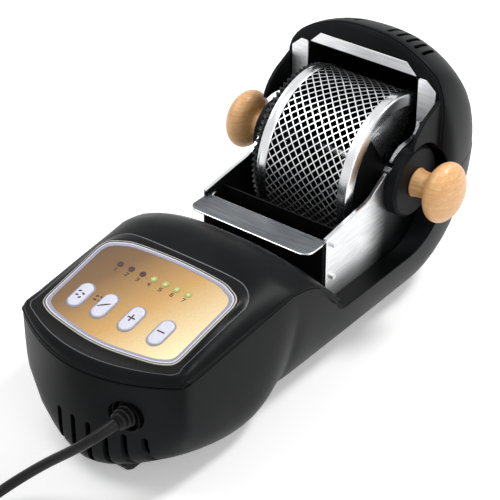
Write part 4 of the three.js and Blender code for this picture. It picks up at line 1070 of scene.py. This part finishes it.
def makeHood():
    s = hoodForm
    cx, cy, cz = s["centre"]
    wall = s["wall"]
    half = s["mouth"][0][0]
    outline = s["mouth"] + [(-x, z) for x, z in s["mouth"][-2::-1]]
    outline += [(-half, s["lowZ"]), (half, s["lowZ"])]
    turns = [math.radians(degrees) for degrees in s["turns"]]
    turns += [math.pi - t for t in turns[-2::-1]]
    outer, inner = [], []
    for turn in turns:
        c, t = math.cos(turn), math.sin(turn)
        mouth = rayTo(outline, (0, cz), turn)
        edge = hoodRay(turn, 0)[0]
        near = [(mouth, 0.4), (mouth + 0.4, 0), (edge - 1.5, 0), (edge - 0.45, 0.08), (edge, 0.5)]
        far = [(mouth, wall), (mouth + 0.4, wall), (edge - 4.6, wall), (edge - 4, wall),
               (edge - 3.4, wall)]
        front = [(cx + r * c, cy + d, cz + r * t) for r, d in near]
        behind = [(cx + r * c, cy + d, cz + r * t) for r, d in far]
        for k, (degrees, inset) in enumerate(s["lifts"]):
            r, d = hoodRay(turn, math.radians(degrees))
            front.append(tuple(q + (r - inset) * w for q, w in zip(s["centre"], d)))
            x, y, z = (q + (r - wall) * w for q, w in zip(s["centre"], d))
            behind.append((x, max(y, cy + wall + 0.02 * (k + 1)), z))
        outer.append(front)
        inner.append(behind)
    count, high = len(turns), len(outer[0])
    points = [at(*p) for column in outer + inner for p in column]
    r = hoodRay(0, math.radians(90))[0]
    points += [at(cx, cy + r, cz), at(cx, cy + r - wall, cz)]
    pole = len(points) - 2
    faces = []
    for i in range(count - 1):
        for start in (0, count * high):
            a = start + i * high
            faces += [(a + k, a + high + k, a + high + k + 1, a + k + 1) for k in range(high - 1)]
            faces.append((a + high - 1, a + 2 * high - 1, pole + (1 if start else 0)))
        a = i * high
        faces.append((a, a + high, a + high + count * high, a + count * high))
    for i in (0, count - 1):
        a, b = i * high, (count + i) * high
        faces += [(a + k, a + k + 1, b + k + 1, b + k) for k in range(high - 1)]
        faces.append((a + high - 1, pole, pole + 1, b + high - 1))
    return addMesh("hood_shell", points, faces, "housing", "hood")


# Cuts a piece with solid cutters, then keeps only the result.
def carved(piece, cutters):
    for cutter in cutters:
        cut = piece.modifiers.new("cut", "BOOLEAN")
        cut.operation = "DIFFERENCE"
        cut.solver = "EXACT"
        cut.object = cutter
    bpy.context.view_layer.update()
    graph = bpy.context.evaluated_depsgraph_get()
    made = bpy.data.meshes.new_from_object(piece.evaluated_get(graph))
    piece.modifiers.clear()
    old = piece.data
    piece.data = made
    bpy.data.meshes.remove(old)
    for cutter in cutters:
        bpy.data.objects.remove(cutter)
    made.polygons.foreach_set("use_smooth", [True] * len(made.polygons))
    crisp(piece, 34)
    even = piece.modifiers.new("even", "WEIGHTED_NORMAL")
    even.keep_sharp = True


def cutterMesh(name, parts):
    points, faces = joined(parts)
    mesh = bpy.data.meshes.new(name)
    mesh.from_pydata(points, [], faces)
    faceOut(mesh)
    made = bpy.data.objects.new(name, mesh)
    scene.collection.objects.link(made)
    return made


# A round cutter along X or Y, from low to high, about a point in the other two axes.
def rodAlong(axis, radius, low, high, a, b, sides=48):
    spots = [(a + radius * c, b + radius * s) for c, s in circle(sides)]
    return skin([[at(reach, u, v) if axis == "x" else at(u, reach, v) for u, v in spots]
                 for reach in (low, high)])


hoodVents = {"angles": (9, 14, 19, 23.5, 28), "width": 3, "from": 30, "to": 52, "near": 70,
             "far": 110}


# A slot with round ends, cut outward from the drum's axis at an angle from straight up.
def ventSlot(angle):
    v = hoodVents
    c, s = math.cos(math.radians(angle)), math.sin(math.radians(angle))
    half = v["width"] / 2
    spots = [(half * over, (v["to"] - half if along > 0 else v["from"] + half) + half * along)
             for over, along in circle(18)]
    return skin([[at(radius * s + u * c, y, radius * c - u * s) for u, y in spots]
                 for radius in (v["near"], v["far"])])


hinge = {"y": 104, "z": -3.5, "radius": 5, "half": 8, "pitch": 16.6, "root": 96, "leaf": 10}


# One barrel of the hinge, with the leaf that joins it to its shell.
def makeKnuckle(name, x, carrier, lift):
    s = hinge
    half = s["half"]
    rings = []
    for along, inset in ((-half, 0.5), (0.5 - half, 0), (half - 0.5, 0), (half, 0.5)):
        r = s["radius"] - inset
        rings.append([at(x + along, s["y"] + r * c, s["z"] + r * w) for c, w in circle(32)])
    low, high = sorted((s["z"], s["z"] + lift))
    near, far = s["root"], s["y"] + 1
    leaf = [[at(px, y, z) for y, z in ((near, low), (far, low), (far, high), (near, high))]
            for px in (x - half, x + half)]
    points, faces = joined([skin(rings), skin(leaf)])
    piece = addMesh(name, points, faces, "housing", carrier)
    crisp(piece, 38)


def finishHood():
    piece = makeHood()
    slots = [ventSlot(side * angle) for side in (-1, 1) for angle in hoodVents["angles"]]
    near, far = discRoom["near"], discRoom["far"]
    bites = [rodAlong("x", discRoom["radius"], low, high, 0, 0, 64)
             for low, high in ((near, far), (-far, -near))]
    carved(piece, [cutterMesh("slot_cutter", slots), cutterMesh("bite_cutter", bites)])
    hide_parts("hood")
    makeKnuckle("hood_knuckle", 0, "hood", hinge["leaf"])


chinVents = {"count": 6, "pitch": 13, "shift": 13.5, "width": 4.2, "low": -97, "high": -63,
             "near": -300, "far": -262}
gland = {"x": 35, "z": -48, "recess": 11.6, "near": -300, "far": -275,
         "rings": ((-281, 8.0), (-284.6, 7.2), (-288.2, 6.4)),
         "rib": ((0, -1.4), (0.1, -0.2), (-0.5, 0), (-1.7, -0.1), (-2.2, -0.5), (-2.3, -1.9),
                 (-4.0, -2.0)),
         "cup": ((0.15, -0.1), (-0.1, 0.2), (0.4, 0.7), (5.2, 1.2), (6.2, 2.4), (6.2, 7.4))}


# An upright slot with round ends, through the chin.
def chinSlot(x):
    s = chinVents
    half = s["width"] / 2
    foot, top = s["low"] + half, s["high"] - half
    turns = (math.pi * 0.75, math.pi / 2, math.pi / 4)
    outline = [(-half, foot), (-half, top)]
    outline += [(half * math.cos(a), top + half * math.sin(a)) for a in turns]
    outline += [(half, top), (half, foot)]
    outline += [(half * math.cos(a), foot - half * math.sin(a)) for a in turns[::-1]]
    return skin([[at(x + u, y, z) for u, z in outline] for y in (s["near"], s["far"])])


def finishBase():
    piece = makeBase()
    s = chinVents
    places = [(i - (s["count"] - 1) / 2) * s["pitch"] + s["shift"] for i in range(s["count"])]
    hole = rodAlong("y", gland["recess"], gland["near"], gland["far"], gland["x"], gland["z"])
    carved(piece, [cutterMesh("vent_cutter", [chinSlot(x) for x in places]),
                   cutterMesh("gland_cutter", [hole])])
    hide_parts("base_housing")
    for name, x in (("left", -hinge["pitch"]), ("right", hinge["pitch"])):
        makeKnuckle(f"base_knuckle_{name}", x, "base", -hinge["leaf"])


well = {"front": -106.4, "rear": -105.2, "top": -38.5, "low": -86}


# The front wall of the well under the drum.
def makeWell():
    s = well
    half = base["wellHalf"]
    corners = ((-half, s["top"]), (half, s["top"]), (half, s["low"]), (-half, s["low"]))
    points, faces = skin([[at(x, y, z) for x, z in corners] for y in (s["front"], s["rear"])])
    piece = addMesh("base_well", points, faces, "housing", "base", smooth=False)
    softened(piece, 0.4)


# Rings about the gland's axis, from (y, radius) pairs.
def glandRings(profile, sides):
    return [[at(gland["x"] + radius * c, y, gland["z"] + radius * s) for c, s in circle(sides)]
            for y, radius in profile]


def makeGland():
    s = gland
    front = frontArc(s["x"])
    cup = [(front + back, s["recess"] - inset) for back, inset in s["cup"]]
    points, faces = skin(glandRings(cup, 56), capped=False)
    piece = addMesh("gland_cup", points, faces, "surround", "base")
    ribs = [(y + dy, radius + dr) for y, radius in s["rings"] for dy, dr in s["rib"]]
    points, faces = skin(glandRings(ribs, 40))
    piece = addMesh("gland_rings", points, faces, "rubber", "base")
    crisp(piece, 50)


# Front feet: angular blocks under the chin.
frontFoot = {"x": 13, "half": 10, "low": -110, "middle": (-264, -104),
             "side": [(-249, -102), (-249, -110), (-265, -110), (-270, -108), (-273.5, -102.5),
                      (-271, -97)]}


def makeFrontFeet():
    s = frontFoot
    middleY, middleZ = s["middle"]
    for side, way in (("left", -1), ("right", 1)):
        rings = []
        for along, inset in ((-1, 1.2), (-0.9, 0), (0.9, 0), (1, 1.2)):
            share = inset / 15
            spots = [(mix(y, middleY, share), z if z == s["low"] else mix(z, middleZ, share))
                     for y, z in s["side"]]
            rings.append([at(way * s["x"] + along * s["half"], y, z) for y, z in spots])
        points, faces = skin(rings)
        piece = addMesh(f"front_foot_{side}", points, faces, "rubber", "base", smooth=False)
        softened(piece, 0.8, 25)
        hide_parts(f"foot_front_{side}")


makeDeck()
finishBase()
makeWell()
finishHood()
makeGland()
makeFrontFeet()
print("body made")


# Chamber: two steel side plates with a slot for the shaft, and a thin bright lip on top.
plate = {"x": 53, "sheet": 1, "slot": 4.3, "slotAngle": 141,
         "lip": ((-1.5, -0.8), (-1.5, 0.05), (0.9, 0.25), (1.25, -0.5)),
         "front": [(-95, -5), (-87, -4), (-78, -2.6), (-69, -1.4), (-60, -0.1), (-54, 0.5),
                   (-48, 1.3), (-42, 3), (-36, 7), (-29, 11), (-23.4, 13.4)],
         "rear": [(-17.2, 19.9), (-12, 24.4), (-6, 27.2), (0, 27.9), (7, 28.2), (12, 29.2),
                  (14.6, 31.4), (15.6, 34.5), (16, 38)],
         "rest": [(19, 38), (19, -6.6), (70, -6.6), (70, -38), (31.5, -76), (-95, -76)]}


def makeSidePlates():
    s = plate
    turns = [math.radians(a) for a in range(s["slotAngle"] + 90, s["slotAngle"] + 271, 15)]
    bite = [(s["slot"] * math.cos(turn), s["slot"] * math.sin(turn)) for turn in turns]
    contour = s["front"] + bite + s["rear"] + s["rest"]
    for side, way in (("left", -1), ("right", 1)):
        parts = [skin([[at(way * x, y, z) for y, z in contour]
                       for x in (s["x"], s["x"] + s["sheet"])])]
        # The sheet's face toward the drum wears the steel painted dark as painted shade.
        shades = [1] * (len(parts[0][1]) - 2) + [2, 0]
        for path in (s["front"], s["rear"]):
            parts.append(skin([[at(way * (s["x"] + x), y, z + h) for x, h in s["lip"]]
                               for y, z in path]))
            shades += [1] * len(parts[-1][1])
        points, faces = joined(parts)
        piece = addMesh(f"chamber_plate_{side}", points, faces, "plate", "base", smooth=False,
                        finishes=["plate", "bright", "shadeSteel"], shades=shades)
        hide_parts(f"side_plate_{side}")


# The inset draws the shelf's edge toward the middle of its depth.
shelf = {"rear": -92, "front": -115.2, "half": 52.5, "corner": 8, "top": -8.6, "sheet": 1.3,
         "insetHalf": 52, "insetY": -103, "insetDepth": 12,
         "wallY": -96, "wallHalf": 52.6, "wallLow": -76, "earNear": 51.7, "earFar": 52.7,
         "ear": ((-96.5, -9), (-84, -9), (-84, -44), (-96.5, -44))}


# The shelf over the front plate, with an ear at each side. Its rim is bare bright metal.
def makeShelf():
    s = shelf
    outline = [(s["half"], s["rear"]), (-s["half"], s["rear"])]
    for start, x in ((180, -s["half"] + s["corner"]), (270, s["half"] - s["corner"])):
        for i in range(11):
            angle = math.radians(start + 9 * i)
            outline.append((x + s["corner"] * math.cos(angle),
                            s["front"] + s["corner"] * (1 + math.sin(angle))))
    top, low = s["top"], s["top"] - s["sheet"]
    rings = []
    for inset, z in ((0.3, low), (0, low + 0.3), (0, top - 0.3), (0.35, top), (0.5, top)):
        rings.append([at(x * (1 - inset / s["insetHalf"]),
                         mix(y, s["insetY"], inset / s["insetDepth"]), z) for x, y in outline])
    parts = [skin(rings)]
    shades = [0 if f // len(outline) > 3 else 1 for f in range(len(parts[0][1]))]
    shades[-2:] = [1, 0]
    half = s["wallHalf"]
    corners = ((-half, top - 1), (half, top - 1), (half, s["wallLow"]), (-half, s["wallLow"]))
    parts.append(skin([[at(x, s["wallY"] - depth, z) for x, z in corners] for depth in (0, 1)]))
    for way in (-1, 1):
        parts.append(skin([[at(way * x, y, z) for y, z in s["ear"]]
                           for x in (s["earNear"], s["earFar"])]))
    points, faces = joined(parts)
    # The wall under the shelf and the ears wear the steel painted dark as painted shade.
    shades += [2] * (len(faces) - len(shades))
    piece = addMesh("shelf_plate", points, faces, "shelf", "base", smooth=False,
                    finishes=["shelf", "bright", "shadeSteel"], shades=shades)
    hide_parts("front_shelf")


liner = {"frontY": 21.2, "flangeY": 20.7, "sheet": 1, "half": 49.4, "shoulderX": 46,
         "shoulderZ": 62, "top": 69.6, "low": -5.5, "slopeY": 52, "back": 78, "slopeZ": 40,
         "side": [(62.6, 34.6), (61.6, 33.5), (48, 33.5), (48, 68.2), (49.2, 69.4), (54.6, 69.4),
                  (62.6, 62.3)],
         "lintel": [(-46.2, 69.9), (46.2, 69.9), (37.4, 78.6), (-37.4, 78.6)]}


# The liner: a box behind the mouth, painted near black as painted shade, and three bright flanges
# round it.
def makeLiner():
    s = liner
    rings = []
    for y, shoulder, top in ((s["frontY"], s["shoulderZ"], s["top"]),
                             (s["slopeY"], s["shoulderZ"], s["top"]),
                             (s["back"], s["slopeZ"] - 3, s["slopeZ"])):
        right = [(s["half"], s["low"]), (s["half"], shoulder), (s["shoulderX"], top)]
        rings.append([at(x, y, z) for x, z in right + [(-x, z) for x, z in right[::-1]]])
    points, faces = skin(rings, closed=False, capped=False)
    count = len(rings[0])
    faces.append(tuple(2 * count + i for i in range(count)))
    # The box wears the steel painted dark as painted shade.
    shell = addMesh("liner_box", points, faces, "shadeSteel", "hood", smooth=False)
    thick = shell.modifiers.new("sheet", "SOLIDIFY")
    thick.thickness = s["sheet"] / 1000
    thick.offset = 0
    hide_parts("hood_liner")
    outlines = (s["side"], [(-x, z) for x, z in s["side"]], s["lintel"])
    points, faces = joined([skin([[at(x, s["flangeY"] + d, z) for x, z in outline]
                                  for d in (0, s["sheet"])]) for outline in outlines])
    piece = addMesh("liner_flanges", points, faces, "flange", "hood", smooth=False)
    softened(piece, 0.35, 30)


# Cheeks that carry the hood's sides forward round the handle discs.
cheek = {"inside": 63.2, "outside": 66.4, "disc": 29.8,
         "edge": [(26, 60), (21.5, 56), (16, 53.4), (10.5, 50.8), (5.5, 48.4), (0.8, 45.2),
                  (-3.2, 41.6), (-6.5, 37.5), (-8.8, 33.5), (-10, 29.6)]}


def makeCheeks():
    s = cheek
    outline = list(s["edge"])
    outline += [(s["disc"] * math.cos(math.radians(a)), s["disc"] * math.sin(math.radians(a)))
                for a in range(106, 29, -7)]
    for side, way in (("left", -1), ("right", 1)):
        rings = [[at(way * x, y, z) for y, z in outline] for x in (s["inside"], s["outside"])]
        points, faces = skin(rings)
        piece = addMesh(f"hood_cheek_{side}", points, faces, "housing", "hood", smooth=False)
        softened(piece, 0.9, 30, 3)


makeSidePlates()
makeShelf()
makeLiner()
makeCheeks()
print("chamber made")


# Panel: an outer white lip, a dark line, a white line, a lavender band and the gold film.
trimSection = [(0.0, -3.0, 3), (0.0, 0.1, 3), (0.2, 0.4, 3), (0.7, 0.45, 3), (0.85, 0.1, 1),
               (1.4, 0.1, 1), (1.55, 0.42, 2), (2.3, 0.42, 2), (2.45, 0.3, 0), (4.2, 0.26, 0),
               (4.4, 0.05, 0)]
panelMiddle = (0, -227.8, 57.6, 42.7)  # its middle, then half its width and depth


def trimRing(inset):
    x0, y0, halfX, halfY = panelMiddle
    return [(x0 + (x - x0) * (1 - inset / halfX), y0 + (y - y0) * (1 - inset / halfY))
            for x, y in trimOutline]


filmRings = ((4.3, -0.6), (4.35, 0.0), (20, 0.0), (32, 0.0))  # insets and heights


# A closed outline drawn smoothly through its points.
def smoothLoop(outline, steps=4):
    found = []
    count = len(outline)
    for i in range(count):
        a, b, c, d = (outline[(i + k - 1) % count] for k in range(4))
        for j in range(steps):
            t = j / steps
            found.append(tuple(0.5 * (2 * b[k] + (c[k] - a[k]) * t
                                      + (2 * a[k] - 5 * b[k] + 4 * c[k] - d[k]) * t * t
                                      + (3 * b[k] - a[k] - 3 * c[k] + d[k]) * t ** 3)
                               for k in (0, 1)))
    return found


# A point on the same plane as onDeck, with Y as it is in plan.
def onPlane(x, y, height):
    return at(x, y - height * math.sin(deckTurn), slopeZ(y) + height * math.cos(deckTurn))


def panelRing(inset, height):
    return [onPlane(x, y, height) for x, y in smoothLoop(trimRing(inset))]


def makePanelTrim():
    rings = [panelRing(inset, height) for inset, height, _ in trimSection]
    points, faces = skin(rings, capped=False)
    shades = [trimSection[f // len(rings[0]) + 1][2] for f in range(len(faces))]
    piece = addMesh("panel_trim", points, faces, "silver", "base",
                    finishes=["silver", "groove", "white", "cream"], shades=shades)
    crisp(piece, 40)
    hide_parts("panel_bezel")
    rings = [panelRing(inset, height) for inset, height in filmRings]
    points, faces = skin(rings, capped=False)
    count = len(rings[0])
    faces.append(tuple(3 * count + i for i in range(count)))
    piece = addMesh("panel_film", points, faces, "film", "base", smooth=False)
    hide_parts("panel_overlay")


# A long outline with round ends.
def stadium(x, y, halfWidth, halfLength, steps=14):
    points = []
    for centre, start in ((y + halfLength - halfWidth, 0), (y - halfLength + halfWidth, 180)):
        for i in range(steps + 1):
            angle = math.radians(start + 180 * i / steps)
            points.append((x + halfWidth * math.cos(angle), centre + halfWidth * math.sin(angle)))
    return points


# Sections run inward from the key's edge, and outward for its rim, with their heights.
buttons = {"places": (-37.3, -16.7, 6.8, 31.5), "y": -241.9, "length": 22, "width": 10.4,
           "names": ("light_roast", "dark_roast", "plus", "minus"),
           "section": ((0, -4), (0, 0.5), (0.35, 1.0), (0.9, 1.25), (2.0, 1.35), (3.4, 1.42),
                       (4.8, 1.44)),
           "rim": ((0.25, -0.6), (0.25, 0.3), (0.5, 0.45), (0.95, 0.3), (1.05, -0.6))}


def keyRing(x, grow, height):
    s = buttons
    outline = stadium(x, s["y"], s["width"] / 2 + grow, s["length"] / 2 + grow)
    return [onDeck(px, py, height) for px, py in outline]


# Each key is a low dome with a rolled shoulder, and stands in a thin grey rim.
def makeButtons():
    s = buttons
    for x, name in zip(s["places"], s["names"]):
        points, faces = skin([keyRing(x, -inset, height) for inset, height in s["section"]])
        piece = addMesh(f"key_{name}", points, faces, "white", f"button_{name}_body")
        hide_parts(f"button_{name}")
        rings = [keyRing(x, grow, height) for grow, height in s["rim"]]
        points, faces = skin(rings, capped=False, looped=True)
        edge = addMesh(f"key_rim_{name}", points, faces, "silver", "base")


# A small solid printed mark, from an outline on the deck, between two heights.
def mark(outline, low, high):
    return skin([[onDeck(x, y, low) for x, y in outline], [onDeck(x, y, high) for x, y in outline]])


def addMarks(name, shapes, finish, carrier):
    points, faces = joined(shapes)
    piece = addMesh(name, points, faces, finish, carrier, smooth=False)
    return piece


def bar(x, y, length, width, turn):
    c, s = math.cos(math.radians(turn)), math.sin(math.radians(turn))
    corners = ((-length, -width), (length, -width), (length, width), (-length, width))
    return [(x + (u * c - v * s) / 2, y + (u * s + v * c) / 2) for u, v in corners]


def oval(x, y, length, width, turn, steps=14):
    c, s = math.cos(math.radians(turn)), math.sin(math.radians(turn))
    spots = [(length / 2 * over, width / 2 * along) for over, along in circle(steps)]
    return [(x + u * c - v * s, y + u * s + v * c) for u, v in spots]


# Marks stand a little proud of the keys and the film. A bean is its place and its turn.
marks = {"keyLow": 1.3, "keyHigh": 1.5, "filmLow": -0.1, "filmHigh": 0.12, "sign": (6, 1.1),
         "slash": (9.5, 1.3, 38), "bean": (2.6, 1.5), "smallBean": (2.4, 1.4),
         "beans": ((-1.8, 2.2, 30), (1.8, 1.0, -20), (-1.6, -1.6, 10), (1.5, -2.8, 40)),
         "group": (-25, 3),
         "smallBeans": ((-1.9, 2.0, 20), (1.4, 2.4, -20), (-1.6, -1.2, 0), (1.8, -1.0, 30))}


def makeKeyMarks():
    s = marks
    y = buttons["y"]
    low, high = s["keyLow"], s["keyHigh"]
    first, second, plus, minus = buttons["places"]
    signs = {"light_roast": [mark(oval(first + dx, y + dy, *s["bean"], turn), low, high)
                             for dx, dy, turn in s["beans"]],
             "dark_roast": [mark(oval(second, y, *s["slash"]), low, high)],
             "plus": [mark(bar(plus, y, *s["sign"], 0), low, high),
                      mark(bar(plus, y, *s["sign"], 90), low, high + 0.02)],
             "minus": [mark(bar(minus, y, *s["sign"], 0), low, high)]}
    for name, shapes in signs.items():
        addMarks(f"mark_{name}", shapes, "ink", f"button_{name}_body")
    x, back = s["group"]
    group = [mark(oval(x + dx, y + back + dy, *s["smallBean"], turn), s["filmLow"],
                  s["filmHigh"]) for dx, dy, turn in s["smallBeans"]]
    addMarks("print_beans", group, "ink", "base")


# Each lamp's disc is given by how low it starts and how high it ends.
lamps = {"count": 7, "unlit": 3, "firstX": -33, "pitch": 9.7, "y": -206.2, "radius": 2.3,
         "dark": (-0.4, 0.3), "rim": (-0.4, 0.28), "rimGrow": 0.2, "core": (0.2, 0.36),
         "coreShare": 0.55}


def disc(x, y, radius, low, high, steps=24):
    return mark(oval(x, y, radius * 2, radius * 2, 0, steps), low, high)


def makeLamps():
    s = lamps
    dark, rims, cores = [], [], []
    for i in range(s["count"]):
        x = s["firstX"] + i * s["pitch"]
        if i < s["unlit"]:
            dark.append(disc(x, s["y"], s["radius"], *s["dark"]))
        else:
            rims.append(disc(x, s["y"], s["radius"] + s["rimGrow"], *s["rim"]))
            cores.append(disc(x, s["y"], s["radius"] * s["coreShare"], *s["core"]))
    piece = addMarks("lamps_unlit", dark, "unlit", "base")
    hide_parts("led_strip")
    addMarks("lamps_green", rims, "lens", "base")
    addMarks("lamps_cores", cores, "lensCore", "base")


# Numbers by the lamps, drawn as strokes in a box two units wide and three high.
strokes = {
    1: [((1, 0), (1, 3)), ((0.4, 2.4), (1, 3))],
    2: [((0, 3), (2, 3)), ((2, 3), (2, 1.6)), ((2, 1.6), (0, 0)), ((0, 0), (2, 0))],
    3: [((0, 3), (2, 3)), ((2, 3), (2, 0)), ((0, 1.5), (2, 1.5)), ((0, 0), (2, 0))],
    4: [((0, 3), (0, 1.3)), ((0, 1.3), (2, 1.3)), ((1.5, 3), (1.5, 0))],
    5: [((2, 3), (0, 3)), ((0, 3), (0, 1.6)), ((0, 1.6), (2, 1.6)), ((2, 1.6), (2, 0)),
        ((2, 0), (0, 0))],
    6: [((2, 3), (0, 3)), ((0, 3), (0, 0)), ((0, 0), (2, 0)), ((2, 0), (2, 1.6)),
        ((2, 1.6), (0, 1.6))],
    7: [((0, 3), (2, 3)), ((2, 3), (0.8, 0))],
}


# Numbers by the lamps: the height of a digit, its line and how far ahead of the lamps it is.
number = {"height": 2.6, "line": 0.5, "ahead": 5.4, "low": -0.1, "high": 0.1, "step": 0.004}


def makeNumbers():
    s = number
    unit = s["height"] / 3
    shapes = []
    for i in range(lamps["count"]):
        x0 = lamps["firstX"] + i * lamps["pitch"] - unit
        y0 = lamps["y"] - s["ahead"] - s["height"] / 2
        for k, ((ax, ay), (bx, by)) in enumerate(strokes[i + 1]):
            dx, dy = (bx - ax) * unit, (by - ay) * unit
            middle = (x0 + (ax + bx) / 2 * unit, y0 + (ay + by) / 2 * unit)
            line = bar(*middle, math.hypot(dx, dy) + s["line"], s["line"],
                       math.degrees(math.atan2(dy, dx)))
            shapes.append(mark(line, s["low"], s["high"] + s["step"] * k))
    addMarks("print_numbers", shapes, "ink", "base")


makePanelTrim()
makeButtons()
makeKeyMarks()
makeLamps()
makeNumbers()
print("panel made")


# Studio: a white table, soft lamps and a pale surround. Each lamp has its place and size in
# metres, and its power.
studio = {"world": 0.34, "floor": "f6f6f6", "clean": "ffffff", "roughness": 0.7,
          "floorRadius": 6.0, "floorDrop": 0.0002, "glow": 0.3, "aim": (0, 0, 0.1),
          "lamps": [("key", (-0.55, -0.35, 1.25), 0.9, 8.0),
                    ("fill", (1.1, -0.6, 0.7), 0.9, 4.0),
                    ("edge", (0.45, 0.62, 1.15), 0.3, 10.0)]}


def makeWorld():
    world = bpy.data.worlds.new("surround")
    scene.world = world
    world.use_nodes = True
    sky = Nodes(world.node_tree)
    back = sky.tree.nodes["Background"]
    back.inputs["Color"].default_value = (1, 1, 1, 1)
    strength = sky.lookedAt().clamped() * (1 - studio["world"]) + studio["world"]
    sky.tree.links.new(strength.socket, back.inputs["Strength"])


def makeLamp(name, place, size, power):
    data = bpy.data.lights.new(name, "AREA")
    data.shape = "DISK"
    data.size = size
    data.energy = power
    lamp = bpy.data.objects.new(name, data)
    lamp.location = place
    lamp.rotation_mode = "QUATERNION"
    aim = Vector(studio["aim"]) - Vector(place)
    lamp.rotation_quaternion = aim.to_track_quat("-Z", "Y")
    scene.collection.objects.link(lamp)


def makeTable():
    s = studio
    paint = Paint("white_table", s["floor"], s["roughness"])
    haze = paint.noise(3, 2)
    paint.feed("Base Color", paint.blend(haze * 0.1, colour(s["floor"]), colour(s["clean"])))
    paint.shader.inputs["Emission Strength"].default_value = s["glow"]
    paint.feed("Emission Color", paint.blend(paint.lookedAt(), (0, 0, 0, 1), (1, 1, 1, 1)))
    ground = bmesh.new()
    bmesh.ops.create_circle(ground, cap_ends=True, radius=s["floorRadius"], segments=96)
    mesh = bpy.data.meshes.new("table")
    ground.to_mesh(mesh)
    ground.free()
    mesh.materials.append(paint.material)
    table = bpy.data.objects.new("table", mesh)
    table.location.z = -s["floorDrop"]
    scene.collection.objects.link(table)


def makeStudio():
    makeWorld()
    for name, place, size, power in studio["lamps"]:
        makeLamp(name, place, size, power)
    makeTable()


makeStudio()
print("studio made")
